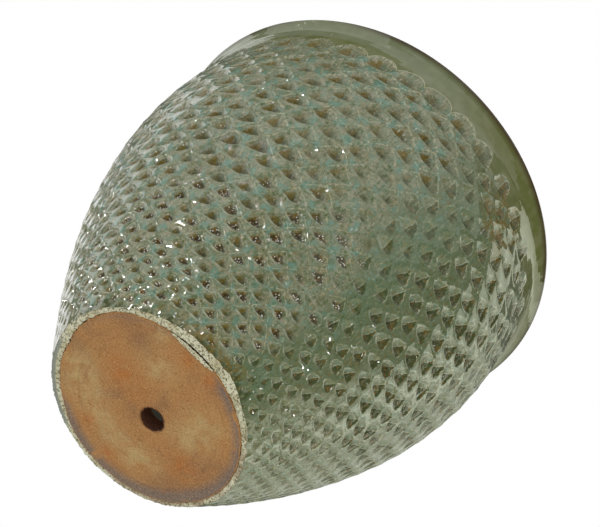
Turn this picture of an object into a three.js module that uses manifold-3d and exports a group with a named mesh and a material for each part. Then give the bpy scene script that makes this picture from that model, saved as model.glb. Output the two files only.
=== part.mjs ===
// A thrown ceramic planter with a carved wall, stood upright. Millimetres, +Z up.
// The origin is the centre of the resting face of the foot. The wall is round about +Z.
// Angles run anticlockwise seen from above, and 0 is the -Y side of the pot.
import * as THREE from 'three';
import { mergeVertices } from 'three/addons/utils/BufferGeometryUtils.js';
import Module from 'manifold-3d';

const wasm = await Module();
wasm.setup();

const degrees = THREE.MathUtils.degToRad;
const point = (radius, height) => new THREE.Vector2(radius, height);

// Outer form, from the foot to the belly, the neck and the rim
const FOOT_RADIUS = 69.6;
const FOOT_LEAN = degrees(32.6); // the wall's lean from upright at the foot
const FOOT_REACH = 122; // how far up the curve that lean carries
const BELLY_RADIUS = 146.3;
const BELLY_HEIGHT = 211;
const BELLY_REACH = 34; // how far down from the belly the wall stays upright
const NECK_RISE = 46; // from the belly up to the neck
const NECK_DRAW_IN = 1.9; // the neck's radius is this much less than the belly's
const NECK_REACH = 16;
const COLLAR_RISE = 15; // from the neck up to the widest line of the lip
const COLLAR_OVERHANG = 5.6; // the lip's radius is this much more than the neck's
const COLLAR_FLARE = degrees(36); // the collar's lean from upright at the lip
const COLLAR_REACH = 6;
const LIP_THICKNESS = 6.5;

// Clay thicknesses and seats
const WALL_THICKNESS = 9;
const SLAB_THICKNESS = 12;
const SLAB_EDGE_ROUND = 1.2;
const FLOOR_FILLET = 10; // inside, where the wall meets the floor
const FILLET_TOE = 0.8; // the fillet's edge on the floor
const WALL_SKIRT = 9; // how far the wall laps down round the edge of the slab
const SEAT_GAP = 0.3;

// Drain hole, bored a little off the centre
const DRAIN_RADIUS = 8.35;
const DRAIN_X = 6.7;
const DRAIN_Y = 2.4;

// Carved relief: staggered rows of diamond pits that share their crests
const CELLS_ROUND = 39;
const RELIEF_START = 7; // height of the lowest crest
const RELIEF_TO_NECK = 5; // plain band between the highest crest and the neck
const ROW_PITCH_RATIO = 1.03; // height of half a pit over half its width
const PIT_DEPTH_RATIO = 0.34; // depth of a pit over half its width
const PIT_DROP_RATIO = 0.16; // how far a pit's deepest point sits below its middle, over half its height
const RELIEF_TURN = degrees(2.8); // turns the columns of pits about the axis

// Glaze that ran down and set round the foot, and the flake that lifted from it
const CRUST_WIDTH = 3.1;
const CRUST_LIFT = 0.4; // keeps the crust off whatever the pot stands on
const CRUST_SWELL = 1.6; // how far the crust stands out beside the flake
const CRUST_RIPPLE = 0.35;
const CRUST_GAP_ANGLE = degrees(64); // where the crust thins almost to nothing
const CRUST_GAP_SPREAD_ANGLE = degrees(5);
const FLAKE_ANGLE = degrees(-6);
const FLAKE_HALF_SPAN = degrees(14);
const FLAKE_WIDTH = 5;
const FLAKE_THICKNESS = 1.1;

// Glaze inside the pot
const LINING_THICKNESS = 1;
const LINING_BELOW_LIP = 5;
const LINING_DRAIN_MARGIN = 2; // the glaze stands back from the drain hole by this much

// Fineness of the facets
const SIDES = 2 * CELLS_ROUND;
const COLLAR_STEPS = 6;
const LIP_STEPS = 5;
const INSIDE_STEPS = 6;
const FILLET_STEPS = 3;

const slabRadius = FOOT_RADIUS - CRUST_WIDTH;
const skirtHeight = SLAB_THICKNESS - WALL_SKIRT;
const neckRadius = BELLY_RADIUS - NECK_DRAW_IN;
const neckHeight = BELLY_HEIGHT + NECK_RISE;
const lipRadius = neckRadius + COLLAR_OVERHANG;
const lipHeight = neckHeight + COLLAR_RISE;

const footToBelly = new THREE.CubicBezierCurve(
  point(FOOT_RADIUS, 0),
  point(FOOT_RADIUS + FOOT_REACH * Math.sin(FOOT_LEAN), FOOT_REACH * Math.cos(FOOT_LEAN)),
  point(BELLY_RADIUS, BELLY_HEIGHT - BELLY_REACH),
  point(BELLY_RADIUS, BELLY_HEIGHT),
);
const bellyToNeck = new THREE.CubicBezierCurve(
  point(BELLY_RADIUS, BELLY_HEIGHT),
  point(BELLY_RADIUS, BELLY_HEIGHT + NECK_REACH),
  point(neckRadius, neckHeight - NECK_REACH),
  point(neckRadius, neckHeight),
);
const neckToLip = new THREE.CubicBezierCurve(
  point(neckRadius, neckHeight),
  point(neckRadius, neckHeight + COLLAR_REACH),
  point(lipRadius - COLLAR_REACH * Math.sin(COLLAR_FLARE), lipHeight - COLLAR_REACH * Math.cos(COLLAR_FLARE)),
  point(lipRadius, lipHeight),
);

// Finds where a function that only climbs reaches a target, between two ends.
function whereReaches(climb, target, low, high) {
  for (let halving = 0; halving < 40; halving++) {
    const middle = (low + high) / 2;
    if (climb(middle) < target) low = middle;
    else high = middle;
  }
  return (low + high) / 2;
}

// Gives the outer surface's radius at a height, and its lean from upright there.
function outerAt(height) {
  let curve = neckToLip;
  if (height <= neckHeight) curve = bellyToNeck;
  if (height <= BELLY_HEIGHT) curve = footToBelly;
  const along = whereReaches((t) => curve.getPoint(t).y, height, 0, 1);
  const tangent = curve.getTangent(along);
  return { radius: curve.getPoint(along).x, lean: Math.atan2(tangent.x, tangent.y) };
}

// Gives the point that lies under the outer surface at a height, at a depth square to the surface.
function underSurface(height, depth) {
  const { radius, lean } = outerAt(height);
  return point(radius - depth * Math.cos(lean), height + depth * Math.sin(lean));
}

// Gives the radius, at a height, of the surface that lies a constant depth under the outer one.
function insideRadius(height, depth) {
  const from = whereReaches((h) => underSurface(h, depth).y, height, 0, lipHeight);
  return underSurface(from, depth).x;
}

// The outer height that faces the top of the fillet, square through the wall.
const filletStation = whereReaches(
  (height) => underSurface(height, WALL_THICKNESS).y, SLAB_THICKNESS + FLOOR_FILLET, 0, neckHeight,
);

// Gives the wall's inside line, drawn in by an inset, from the neck down to the fillet's toe on the floor.
function wallInside(inset) {
  const depth = WALL_THICKNESS + inset;
  const toeHeight = SLAB_THICKNESS + FILLET_TOE + inset;
  const line = [];
  for (let step = 0; step < INSIDE_STEPS; step++) {
    const station = THREE.MathUtils.lerp(neckHeight, filletStation, step / INSIDE_STEPS);
    line.push(underSurface(station, depth));
  }
  const corner = insideRadius(toeHeight, depth);
  const fillet = new THREE.QuadraticBezierCurve(
    underSurface(filletStation, depth), point(corner, toeHeight), point(corner - FLOOR_FILLET, toeHeight),
  );
  return line.concat(fillet.getPoints(FILLET_STEPS));
}

// Merges a geometry's shared vertices and leaves out faces that shrank to a line.
function weld(geometry) {
  geometry.deleteAttribute('normal');
  geometry.deleteAttribute('uv');
  const welded = mergeVertices(geometry);
  const faces = [];
  const index = welded.index.array;
  for (let i = 0; i < index.length; i += 3) {
    const [a, b, c] = index.slice(i, i + 3);
    if (a !== b && b !== c && c !== a) faces.push(a, b, c);
  }
  welded.setIndex(faces);
  return welded;
}

// Turns a profile of radii and heights about +Z, with its first column at an angle.
function revolve(profile, firstAngle = 0) {
  const geometry = new THREE.LatheGeometry(profile, SIDES, firstAngle);
  geometry.rotateX(Math.PI / 2);
  return geometry;
}

// Repeats a profile's first point at its end, which makes a ring of it.
function closeProfile(profile) {
  return [...profile, profile[0].clone()];
}

function toSolid(geometry) {
  const welded = weld(geometry);
  return new wasm.Manifold(new wasm.Mesh({
    numProp: 3,
    vertProperties: Float32Array.from(welded.attributes.position.array),
    triVerts: Uint32Array.from(welded.index.array),
  }));
}

function toGeometry(solid) {
  const mesh = solid.getMesh();
  const geometry = new THREE.BufferGeometry();
  geometry.setAttribute('position', new THREE.BufferAttribute(mesh.vertProperties, 3));
  geometry.setIndex(new THREE.BufferAttribute(mesh.triVerts, 1));
  return geometry;
}

// An upright round cutter on the drain hole's axis.
function drainCutter(radius) {
  const cutterHeight = 4 * SLAB_THICKNESS;
  const cutter = new THREE.CylinderGeometry(radius, radius, cutterHeight, 28);
  cutter.rotateX(Math.PI / 2);
  cutter.translate(DRAIN_X, DRAIN_Y, 0);
  return toSolid(cutter);
}

// The flake's crescent at the edge of the slab, grown by a margin, from one height up by a thickness.
function flakeCrescent(margin, bottom, thickness) {
  const outer = slabRadius - SEAT_GAP + margin;
  const inner = outer - FLAKE_WIDTH - 2 * margin;
  const tipMargin = 4 * margin / outer;
  const start = FLAKE_ANGLE - FLAKE_HALF_SPAN - degrees(90) - tipMargin;
  const end = FLAKE_ANGLE + FLAKE_HALF_SPAN - degrees(90) + tipMargin;
  const middle = (start + end) / 2;
  const pull = 2 * inner - outer * Math.cos((end - start) / 2);
  const crescent = new THREE.Shape();
  crescent.absarc(0, 0, outer, start, end, false);
  crescent.quadraticCurveTo(
    pull * Math.cos(middle), pull * Math.sin(middle),
    outer * Math.cos(start), outer * Math.sin(start),
  );
  const geometry = new THREE.ExtrudeGeometry(crescent, {
    depth: thickness, bevelEnabled: false, curveSegments: 10,
  });
  geometry.translate(0, 0, bottom);
  return geometry;
}

// The foot is a round slab of bare clay, with the drain hole and the shallow seat of the flake.
function footSlab() {
  const slab = toSolid(revolve([
    point(0, 0),
    point(slabRadius - SLAB_EDGE_ROUND, 0),
    point(slabRadius - SLAB_EDGE_ROUND * 0.3, SLAB_EDGE_ROUND * 0.3),
    point(slabRadius, SLAB_EDGE_ROUND),
    point(slabRadius, SLAB_THICKNESS),
    point(0, SLAB_THICKNESS),
  ]));
  const seatTop = CRUST_LIFT + FLAKE_THICKNESS + SEAT_GAP;
  const seat = toSolid(flakeCrescent(2 * SEAT_GAP, -SEAT_GAP, seatTop + SEAT_GAP));
  return toGeometry(slab.subtract(drainCutter(DRAIN_RADIUS)).subtract(seat));
}

// Half the width of a pit where the wall has a given radius, measured round the wall.
const halfWidth = (radius) => Math.PI * radius / CELLS_ROUND;

// Heights of the rows of crests. The rows spread as the wall widens, so every pit keeps its shape,
// and the row heights are drawn together or apart a little so that they end on the highest crest.
function reliefRowHeights() {
  const top = neckHeight - RELIEF_TO_NECK;
  const slices = 400;
  const rise = (top - RELIEF_START) / slices;
  const rowsBelow = [0];
  for (let slice = 0; slice < slices; slice++) {
    const { radius, lean } = outerAt(RELIEF_START + (slice + 0.5) * rise);
    const row = ROW_PITCH_RATIO * halfWidth(radius) * Math.cos(lean);
    rowsBelow.push(rowsBelow[slice] + rise / row);
  }
  const total = rowsBelow[slices];
  const count = Math.round(total);
  const heights = [];
  for (let row = 0; row <= count; row++) {
    const target = total * row / count;
    const slice = Math.min(rowsBelow.findIndex((rows) => rows >= target - 1e-9), slices);
    const below = Math.max(slice - 1, 0);
    const share = slice === below ? 0 : (target - rowsBelow[below]) / (rowsBelow[slice] - rowsBelow[below]);
    heights.push(RELIEF_START + (below + share) * rise);
  }
  return heights;
}

// The wall stands on the slab and laps down round its edge. On the outside its profile points are
// the rows of the relief, and where column and row add up to an even number a pit is sunk.
function carvedWall() {
  const rowHeights = reliefRowHeights();
  const firstRow = 1;
  const lastRow = firstRow + rowHeights.length - 1;
  const inside = wallInside(0);
  const profile = closeProfile([
    point(outerAt(skirtHeight).radius, skirtHeight),
    ...rowHeights.map((height) => point(outerAt(height).radius, height)),
    point(neckRadius, neckHeight),
    ...inside,
    point(inside.at(-1).x, SLAB_THICKNESS),
    point(slabRadius + SEAT_GAP, SLAB_THICKNESS),
    point(slabRadius + SEAT_GAP, skirtHeight),
  ]);
  const geometry = revolve(profile, RELIEF_TURN);
  const position = geometry.attributes.position;
  const isPit = (column, row) => (column + row) % 2 === 0 && row > firstRow && row < lastRow;

  for (let column = 0; column <= SIDES; column++) {
    const angle = RELIEF_TURN + 2 * Math.PI * column / SIDES;
    for (let row = firstRow; row <= lastRow; row++) {
      if (!isPit(column, row)) continue;
      const half = halfWidth(profile[row].x);
      const pitHeight = profile[row].y - PIT_DROP_RATIO * (profile[row].y - profile[row - 1].y);
      const bottom = underSurface(pitHeight, PIT_DEPTH_RATIO * half);
      position.setXYZ(
        column * profile.length + row,
        bottom.x * Math.sin(angle), -bottom.x * Math.cos(angle), bottom.y,
      );
    }
  }

  const faces = [];
  for (let column = 0; column < SIDES; column++) {
    for (let row = 0; row < profile.length - 1; row++) {
      const a = column * profile.length + row;
      const b = a + profile.length;
      const c = b + 1;
      const d = a + 1;
      const crestClimbsRight = row >= firstRow && row < lastRow && (column + row) % 2 === 1;
      if (crestClimbsRight) faces.push(a, b, c, a, c, d);
      else faces.push(a, b, d, b, c, d);
    }
  }
  geometry.setIndex(faces);
  return weld(geometry);
}

// The collar is plain. It sits on the wall at the neck, flares, and ends in a round lip.
function rimCollar() {
  const lip = new THREE.EllipseCurve(
    lipRadius - LIP_THICKNESS / 2, lipHeight, LIP_THICKNESS / 2, LIP_THICKNESS / 2, 0, Math.PI,
  );
  return weld(revolve(closeProfile([
    ...neckToLip.getPoints(COLLAR_STEPS).slice(0, -1),
    ...lip.getPoints(LIP_STEPS),
    point(neckRadius - WALL_THICKNESS, neckHeight),
  ])));
}

// How far the crust's outer edge stands out from the foot at an angle.
function crustStandout(angle) {
  const fromFlake = Math.cos(angle - FLAKE_ANGLE) - 1;
  const swell = CRUST_SWELL * Math.exp(fromFlake * 12);
  const ripple = CRUST_RIPPLE * (Math.sin(5 * angle + 0.7) + 0.6 * Math.sin(11 * angle + 2.1));
  const fromGap = (Math.cos(angle - CRUST_GAP_ANGLE) - 1) / (1 - Math.cos(CRUST_GAP_SPREAD_ANGLE));
  const thinning = 0.7 * CRUST_WIDTH * Math.exp(fromGap);
  return swell + ripple - thinning;
}

// The crust is a ring of run glaze in the corner between the slab's edge and the wall's skirt.
function footCrust() {
  const inner = slabRadius + SEAT_GAP;
  const top = skirtHeight - SEAT_GAP;
  const middle = (CRUST_LIFT + top) / 2;
  const profile = closeProfile([
    point(inner, CRUST_LIFT),
    point(FOOT_RADIUS - SEAT_GAP, CRUST_LIFT),
    point(FOOT_RADIUS + SEAT_GAP, middle),
    point(FOOT_RADIUS + SEAT_GAP, top),
    point(inner, top),
  ]);
  const geometry = revolve(profile);
  const position = geometry.attributes.position;
  for (let column = 0; column <= SIDES; column++) {
    const angle = 2 * Math.PI * column / SIDES;
    for (let row = 1; row <= 3; row++) {
      const radius = profile[row].x + crustStandout(angle);
      position.setXY(column * profile.length + row, radius * Math.sin(angle), -radius * Math.cos(angle));
    }
  }
  return weld(geometry);
}

// Gives the inside of the pot, drawn in by an inset, from under the lip down to the axis on the floor.
function potInside(inset) {
  const flare = Math.atan2(COLLAR_OVERHANG + WALL_THICKNESS - LIP_THICKNESS, COLLAR_RISE);
  const topHeight = lipHeight - LINING_BELOW_LIP;
  const collarRadius = neckRadius - WALL_THICKNESS + (topHeight - neckHeight) * Math.tan(flare);
  const line = wallInside(inset);
  const toe = line.at(-1);
  const floor = SLAB_THICKNESS + inset;
  return [
    point(collarRadius - inset / Math.cos(flare), topHeight),
    ...line,
    point(toe.x - FILLET_TOE, floor),
    point(0, floor),
  ];
}

// The lining is the coat of glaze over the inside, open at the drain hole.
function glazeLining() {
  const back = potInside(SEAT_GAP);
  const face = potInside(SEAT_GAP + LINING_THICKNESS);
  const lining = toSolid(revolve([...back.reverse(), ...face]));
  return toGeometry(lining.subtract(drainCutter(DRAIN_RADIUS + LINING_DRAIN_MARGIN)));
}

const bareClay = () => new THREE.MeshStandardMaterial({ color: '#b3804a', roughness: 0.9, metalness: 0 });
const greenGlaze = () => new THREE.MeshStandardMaterial({ color: '#6d7f66', roughness: 0.18, metalness: 0 });
const oliveGlaze = () => new THREE.MeshStandardMaterial({ color: '#5d6640', roughness: 0.2, metalness: 0 });
const driedGlaze = () => new THREE.MeshStandardMaterial({ color: '#c8c29c', roughness: 0.8, metalness: 0 });

const pot = new THREE.Group();

// Adds a piece to the pot under its name.
function addPiece(name, geometry, material) {
  const mesh = new THREE.Mesh(geometry, material);
  mesh.name = name;
  pot.add(mesh);
}

addPiece('foot_slab', footSlab(), bareClay());
addPiece('carved_wall', carvedWall(), greenGlaze());
addPiece('rim_collar', rimCollar(), oliveGlaze());
addPiece('foot_crust', footCrust(), driedGlaze());
addPiece('crust_flake', weld(flakeCrescent(0, CRUST_LIFT, FLAKE_THICKNESS)), driedGlaze());
addPiece('glaze_lining', glazeLining(), oliveGlaze());

export default pot;
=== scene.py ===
"""The looks of a thrown ceramic planter with a carved wall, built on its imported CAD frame.

Lengths are metres, +Z is up, and the origin is the centre of the resting face of the foot.
Angles run anticlockwise seen from above, and 0 is the -Y side of the pot.
"""

import logging
import math
from abc import ABC, abstractmethod
from dataclasses import dataclass, field
from enum import Enum, IntEnum
from functools import cached_property, reduce
from typing import ClassVar

import bpy
import numpy as np
from mathutils import Matrix, Quaternion, Vector


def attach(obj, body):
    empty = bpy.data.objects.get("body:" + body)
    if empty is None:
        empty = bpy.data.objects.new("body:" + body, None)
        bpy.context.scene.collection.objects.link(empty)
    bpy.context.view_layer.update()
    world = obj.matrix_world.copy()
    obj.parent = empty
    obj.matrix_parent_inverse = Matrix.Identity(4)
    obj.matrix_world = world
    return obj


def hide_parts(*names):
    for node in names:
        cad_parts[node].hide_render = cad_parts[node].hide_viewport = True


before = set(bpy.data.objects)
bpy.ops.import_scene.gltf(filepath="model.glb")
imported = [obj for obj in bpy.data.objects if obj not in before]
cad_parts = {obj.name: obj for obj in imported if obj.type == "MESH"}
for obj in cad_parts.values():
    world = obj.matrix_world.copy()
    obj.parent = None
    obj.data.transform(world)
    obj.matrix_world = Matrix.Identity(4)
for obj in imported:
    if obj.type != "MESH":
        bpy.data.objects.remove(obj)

FULL_TURN = 2 * math.pi

Triple = tuple[float, float, float]
Colour = Triple
Marks = dict[str, np.ndarray]
Socket = bpy.types.NodeSocket
WINDOW: Colour = (0.95, 1.0, 0.83)
WHITE: Colour = (1.0, 1.0, 1.0)
UNSTRETCHED: Triple = (1.0, 1.0, 1.0)

log = logging.getLogger("planter")


class Slot(Enum):
    """The record's material slots."""

    CLAY = "bare_clay"
    GREEN = "green_glaze"
    OLIVE = "olive_glaze"
    DRIED = "dried_glaze"
    LINING = "lining_glaze"


class Work(Enum):
    """What a light is for."""

    SHINE = "seen in glossy surfaces only"
    FILL = "lights matt colour only"


class Blend(Enum):
    """How one colour is laid over another."""

    COVER = "MIX"
    STAIN = "MULTIPLY"


class Sum(Enum):
    """The arithmetic that the materials use."""

    ADD = "ADD"
    TIMES = "MULTIPLY"
    MOST = "MAXIMUM"


class Seed(IntEnum):
    """Picks each random pattern."""

    STROKES = 7
    WANDER_ROUND = 8
    WANDER_UP = 9
    STRAY = 11
    FINE_STRAY = 12
    RIPPLE = 21
    COLLAR = 31
    LIP_BROWN = 33
    TORN_BORE = 41
    TORN_BORE_FINE = 42
    WORN_CLAY = 43
    WORN_CLAY_FINE = 44
    THROWING_RINGS = 46
    STREAKS = 47
    WIDE_STREAKS = 48
    CLAY_EDGE = 51
    CLAY_EDGE_FINE = 52
    CLIMB = 53
    CRUST_LUMPS = 54
    CLIMB_FINE = 55
    WIDE_CRUST_LUMPS = 56
    FLAKE_LUMPS = 61


# Numbers over whole grids


def paint(red: int, green: int, blue: int) -> Colour:
    """Turns a colour as seen on a screen, 0 to 255, into the linear one that shaders take."""
    return (red / 255) ** 2.2, (green / 255) ** 2.2, (blue / 255) ** 2.2


def ease(value: np.ndarray, low: float, high: float) -> np.ndarray:
    """Climbs smoothly from 0 at low to 1 at high, which may be the lesser of the two."""
    share = np.clip((value - low) / (high - low), 0, 1)
    return share * share * (3 - 2 * share)


def hump(angle: np.ndarray, middle: float, spread: float) -> np.ndarray:
    """A bell curve round the pot, in degrees, that falls to 0.37 a spread away from its middle."""
    away = (angle - middle + 180) % 360 - 180
    return np.exp(-((away / spread) ** 2))


@dataclass(frozen=True)
class Span:
    """A stretch with soft ends, in degrees round the pot, metres up it or rows of strokes."""

    low: float
    high: float
    soft: float

    def over(self, value: np.ndarray) -> np.ndarray:
        """Is 1 from low to high and falls to 0 over the soft width outside them."""
        return ease(value, self.low - self.soft, self.low) * ease(value, self.high + self.soft, self.high)


@dataclass(frozen=True)
class Patch:
    """A bell curve round the pot, in degrees, on a stretch of its height."""

    middle: float
    spread: float
    rise: Span
    weight: float = 1.0

    def over(self, angle: np.ndarray, height: np.ndarray) -> np.ndarray:
        """The weight times the bell curve and the stretch."""
        return self.weight * hump(angle, self.middle, self.spread) * self.rise.over(height)


def blurred(values: np.ndarray, up: float, across: float) -> np.ndarray:
    """Smears a grid by a bell curve. Columns wrap round the pot, and rows are mirrored at both ends.

    Args:
        values: Rows up the pot by columns round it.
        up: The curve's width in rows.
        across: The curve's width in columns.

    Returns:
        The grid with its waves damped by e to the minus 2 pi squared times width squared times
        frequency squared, which is what a bell curve does.
    """
    rows = len(values)
    mirrored = np.concatenate([values, values[::-1]])
    waves_up = np.fft.fftfreq(2 * rows)[:, None] * up
    waves_across = np.fft.rfftfreq(values.shape[1])[None, :] * across
    damping = np.exp(-2 * math.pi**2 * (waves_up**2 + waves_across**2))
    return np.fft.irfft2(np.fft.rfft2(mirrored) * damping, mirrored.shape)[:rows]


def grain(shape: tuple[int, int], up: float, across: float, seed: Seed) -> np.ndarray:
    """Random swells of a size in rows and columns, with an average of 0 and a spread of 1."""
    noise = blurred(np.random.default_rng(int(seed)).standard_normal(shape), up, across)
    return (noise - noise.mean()) / noise.std()


def bezier(corners: list[tuple[float, float]], steps: int = 200) -> np.ndarray:
    """Points on a cubic curve.

    Args:
        corners: Its four control points.
        steps: How many stretches it is cut into.

    Returns:
        The four corners weighted by (1-t)^3, 3t(1-t)^2, 3t^2(1-t) and t^3.
    """
    t = np.linspace(0, 1, steps + 1)[:, None]
    weights = [(1 - t) ** 3, 3 * t * (1 - t) ** 2, 3 * t**2 * (1 - t), t**3]
    return sum(w * np.array(corner) for w, corner in zip(weights, corners))


def columns_round(count: int, start: float = 0.0) -> np.ndarray:
    """The angles of columns spread evenly round the pot, in radians."""
    return start + FULL_TURN * np.arange(count) / count


def in_degrees(angles: np.ndarray) -> np.ndarray:
    """One row of angles in degrees, from -180 to 180."""
    return (np.degrees(angles)[None, :] + 180) % 360 - 180


def ring_points(
    angles: np.ndarray, radius: np.ndarray, height: np.ndarray, centre: np.ndarray | None = None
) -> np.ndarray:
    """Places a grid of radii and heights round the axis.

    Args:
        angles: One angle for each column, in radians.
        radius: Rows by columns, or rows by 1.
        height: The same, for the heights.
        centre: The x and y of the centre of each row or point. On the axis if it is left out.

    Returns:
        x = radius sin(angle), y = -radius cos(angle), moved by the centre.
    """
    radius, height, angles = np.broadcast_arrays(radius, height, angles[None, :])
    points = np.stack([radius * np.sin(angles), -radius * np.cos(angles), height], -1)
    if centre is not None:
        points[..., :2] += centre
    return points


def round_axis(points: np.ndarray) -> tuple[np.ndarray, np.ndarray]:
    """Reads the angles of points in radians, and their distances from the axis."""
    return np.arctan2(points[..., 0], -points[..., 1]), np.hypot(points[..., 0], points[..., 1])


# Meshes


def normals_of(points: np.ndarray) -> np.ndarray:
    """Finds the directions square to a grid whose columns close and whose rows don't.

    Args:
        points: Rows by columns by 3.

    Returns:
        The directions, each of length 1.
    """
    along = np.roll(points, -1, 1) - np.roll(points, 1, 1)
    square = np.cross(along, np.gradient(points, axis=0))
    return square / np.maximum(np.linalg.norm(square, axis=-1, keepdims=True), 1e-12)


def triangles_of(*corners: np.ndarray) -> np.ndarray:
    """Cuts four-sided faces in two, from four grids with the numbers of their corners in turn."""
    sides = np.stack(corners, -1).reshape(-1, 4)
    return np.concatenate([sides[:, [0, 1, 2]], sides[:, [0, 2, 3]]])


def mesh_piece(
    name: str, points: np.ndarray, faces: np.ndarray, marks: Marks | None = None
) -> bpy.types.Object:
    """Puts points and faces of one size into a new object.

    Args:
        name: The object's name.
        points: Corners, n by 3.
        faces: Corner numbers, one row a face.
        marks: Values at the corners that the materials read, by name.

    Returns:
        The object with smooth faces, linked to the scene.
    """
    mesh = bpy.data.meshes.new(name)
    mesh.vertices.add(len(points))
    mesh.vertices.foreach_set("co", points.astype(np.float32).ravel())
    mesh.loops.add(faces.size)
    mesh.loops.foreach_set("vertex_index", faces.astype(np.int32).ravel())
    mesh.polygons.add(len(faces))
    mesh.polygons.foreach_set("loop_start", np.arange(0, faces.size, faces.shape[1], dtype=np.int32))
    mesh.polygons.foreach_set("use_smooth", np.ones(len(faces), bool))
    mesh.update(calc_edges=True)
    for mark, values in (marks or {}).items():
        layer = mesh.attributes.new(mark, "FLOAT", "POINT")
        layer.data.foreach_set("value", values.astype(np.float32).ravel())
    piece = bpy.data.objects.new(name, mesh)
    bpy.context.scene.collection.objects.link(piece)
    return piece


def closed_ring(
    name: str, points: np.ndarray, marks: Marks | None = None, normals: np.ndarray | None = None
) -> bpy.types.Object:
    """Makes a piece from a grid whose rows and columns both close, like a bent tube.

    Args:
        name: The piece's name.
        points: Rows round the section by columns round the pot. Going up the outside comes first,
            so that columns crossed with rows point outwards.
        marks: Values at the points, by name, each of them rows by columns.
        normals: Shading directions at the points, where a hidden joint mustn't bend them.

    Returns:
        The object.
    """
    rows, columns = points.shape[:2]
    index = np.arange(rows * columns).reshape(rows, columns)
    right = np.roll(index, -1, 1)
    faces = np.stack([index, right, np.roll(right, -1, 0), np.roll(index, -1, 0)], -1)
    piece = mesh_piece(name, points.reshape(-1, 3), faces.reshape(-1, 4), marks)
    if normals is not None:
        piece.data.normals_split_custom_set_from_vertices(normals.reshape(-1, 3))
    return piece


def settle(
    piece: bpy.types.Object, node: str, finish: bpy.types.Material
) -> bpy.types.Object:
    """Gives a piece its finish and its body, and hides the CAD node that it stands for.

    Args:
        piece: The new piece.
        node: The CAD node that it replaces.
        finish: Its material.

    Returns:
        The same piece.
    """
    piece.data.materials.append(finish)
    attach(piece, "root")
    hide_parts(node)
    log.info("%s stands for %s, with %d faces", piece.name, node, len(piece.data.polygons))
    return piece


# The pot's outer form, with the sizes of the part's source


@dataclass(frozen=True)
class PotForm:
    """The thrown form: the outer surface's radius and lean at any height, and the drain hole."""

    foot_radius: float = 0.0696
    foot_lean: float = math.radians(32.6)
    foot_reach: float = 0.122
    belly_radius: float = 0.1463
    belly_height: float = 0.211
    belly_reach: float = 0.034
    neck_radius: float = 0.1444
    neck_height: float = 0.257
    neck_reach: float = 0.016
    lip_radius: float = 0.1497
    lip_height: float = 0.2718
    collar_flare: float = math.radians(36)
    collar_reach: float = 0.006
    lip_thickness: float = 0.0062
    wall: float = 0.009
    floor: float = 0.012
    seat_gap: float = 0.0003
    hole_radius: float = 0.00835
    hole_centre: tuple[float, float] = (0.0067, 0.0024)

    @cached_property
    def line(self) -> np.ndarray:
        """Works out the outside line.

        Returns:
            Points from the foot up to the widest line of the lip.
        """
        lean_x, lean_z = math.sin(self.foot_lean), math.cos(self.foot_lean)
        flare_x, flare_z = math.sin(self.collar_flare), math.cos(self.collar_flare)
        up = bezier([
            (self.foot_radius, 0),
            (self.foot_radius + self.foot_reach * lean_x, self.foot_reach * lean_z),
            (self.belly_radius, self.belly_height - self.belly_reach),
            (self.belly_radius, self.belly_height),
        ])
        over = bezier([
            (self.belly_radius, self.belly_height),
            (self.belly_radius, self.belly_height + self.neck_reach),
            (self.neck_radius, self.neck_height - self.neck_reach),
            (self.neck_radius, self.neck_height),
        ])
        out = bezier([
            (self.neck_radius, self.neck_height),
            (self.neck_radius, self.neck_height + self.collar_reach),
            (self.lip_radius - self.collar_reach * flare_x, self.lip_height - self.collar_reach * flare_z),
            (self.lip_radius, self.lip_height),
        ])
        return np.concatenate([up, over[1:], out[1:]])

    def radius(self, height: np.ndarray) -> np.ndarray:
        """The outer radius at a height, read off the line."""
        return np.interp(height, self.line[:, 1], self.line[:, 0])

    def lean(self, height: np.ndarray) -> np.ndarray:
        """The surface's lean from upright at a height, as an angle."""
        slopes = np.arctan2(*np.gradient(self.line, axis=0).T)
        return np.interp(height, self.line[:, 1], slopes)

    def under(self, height: np.ndarray, depth: float | np.ndarray) -> tuple[np.ndarray, np.ndarray]:
        """The radius and the height at a depth measured square into the surface."""
        lean = self.lean(height)
        return self.radius(height) - depth * np.cos(lean), height + depth * np.sin(lean)


# The carved relief


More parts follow.
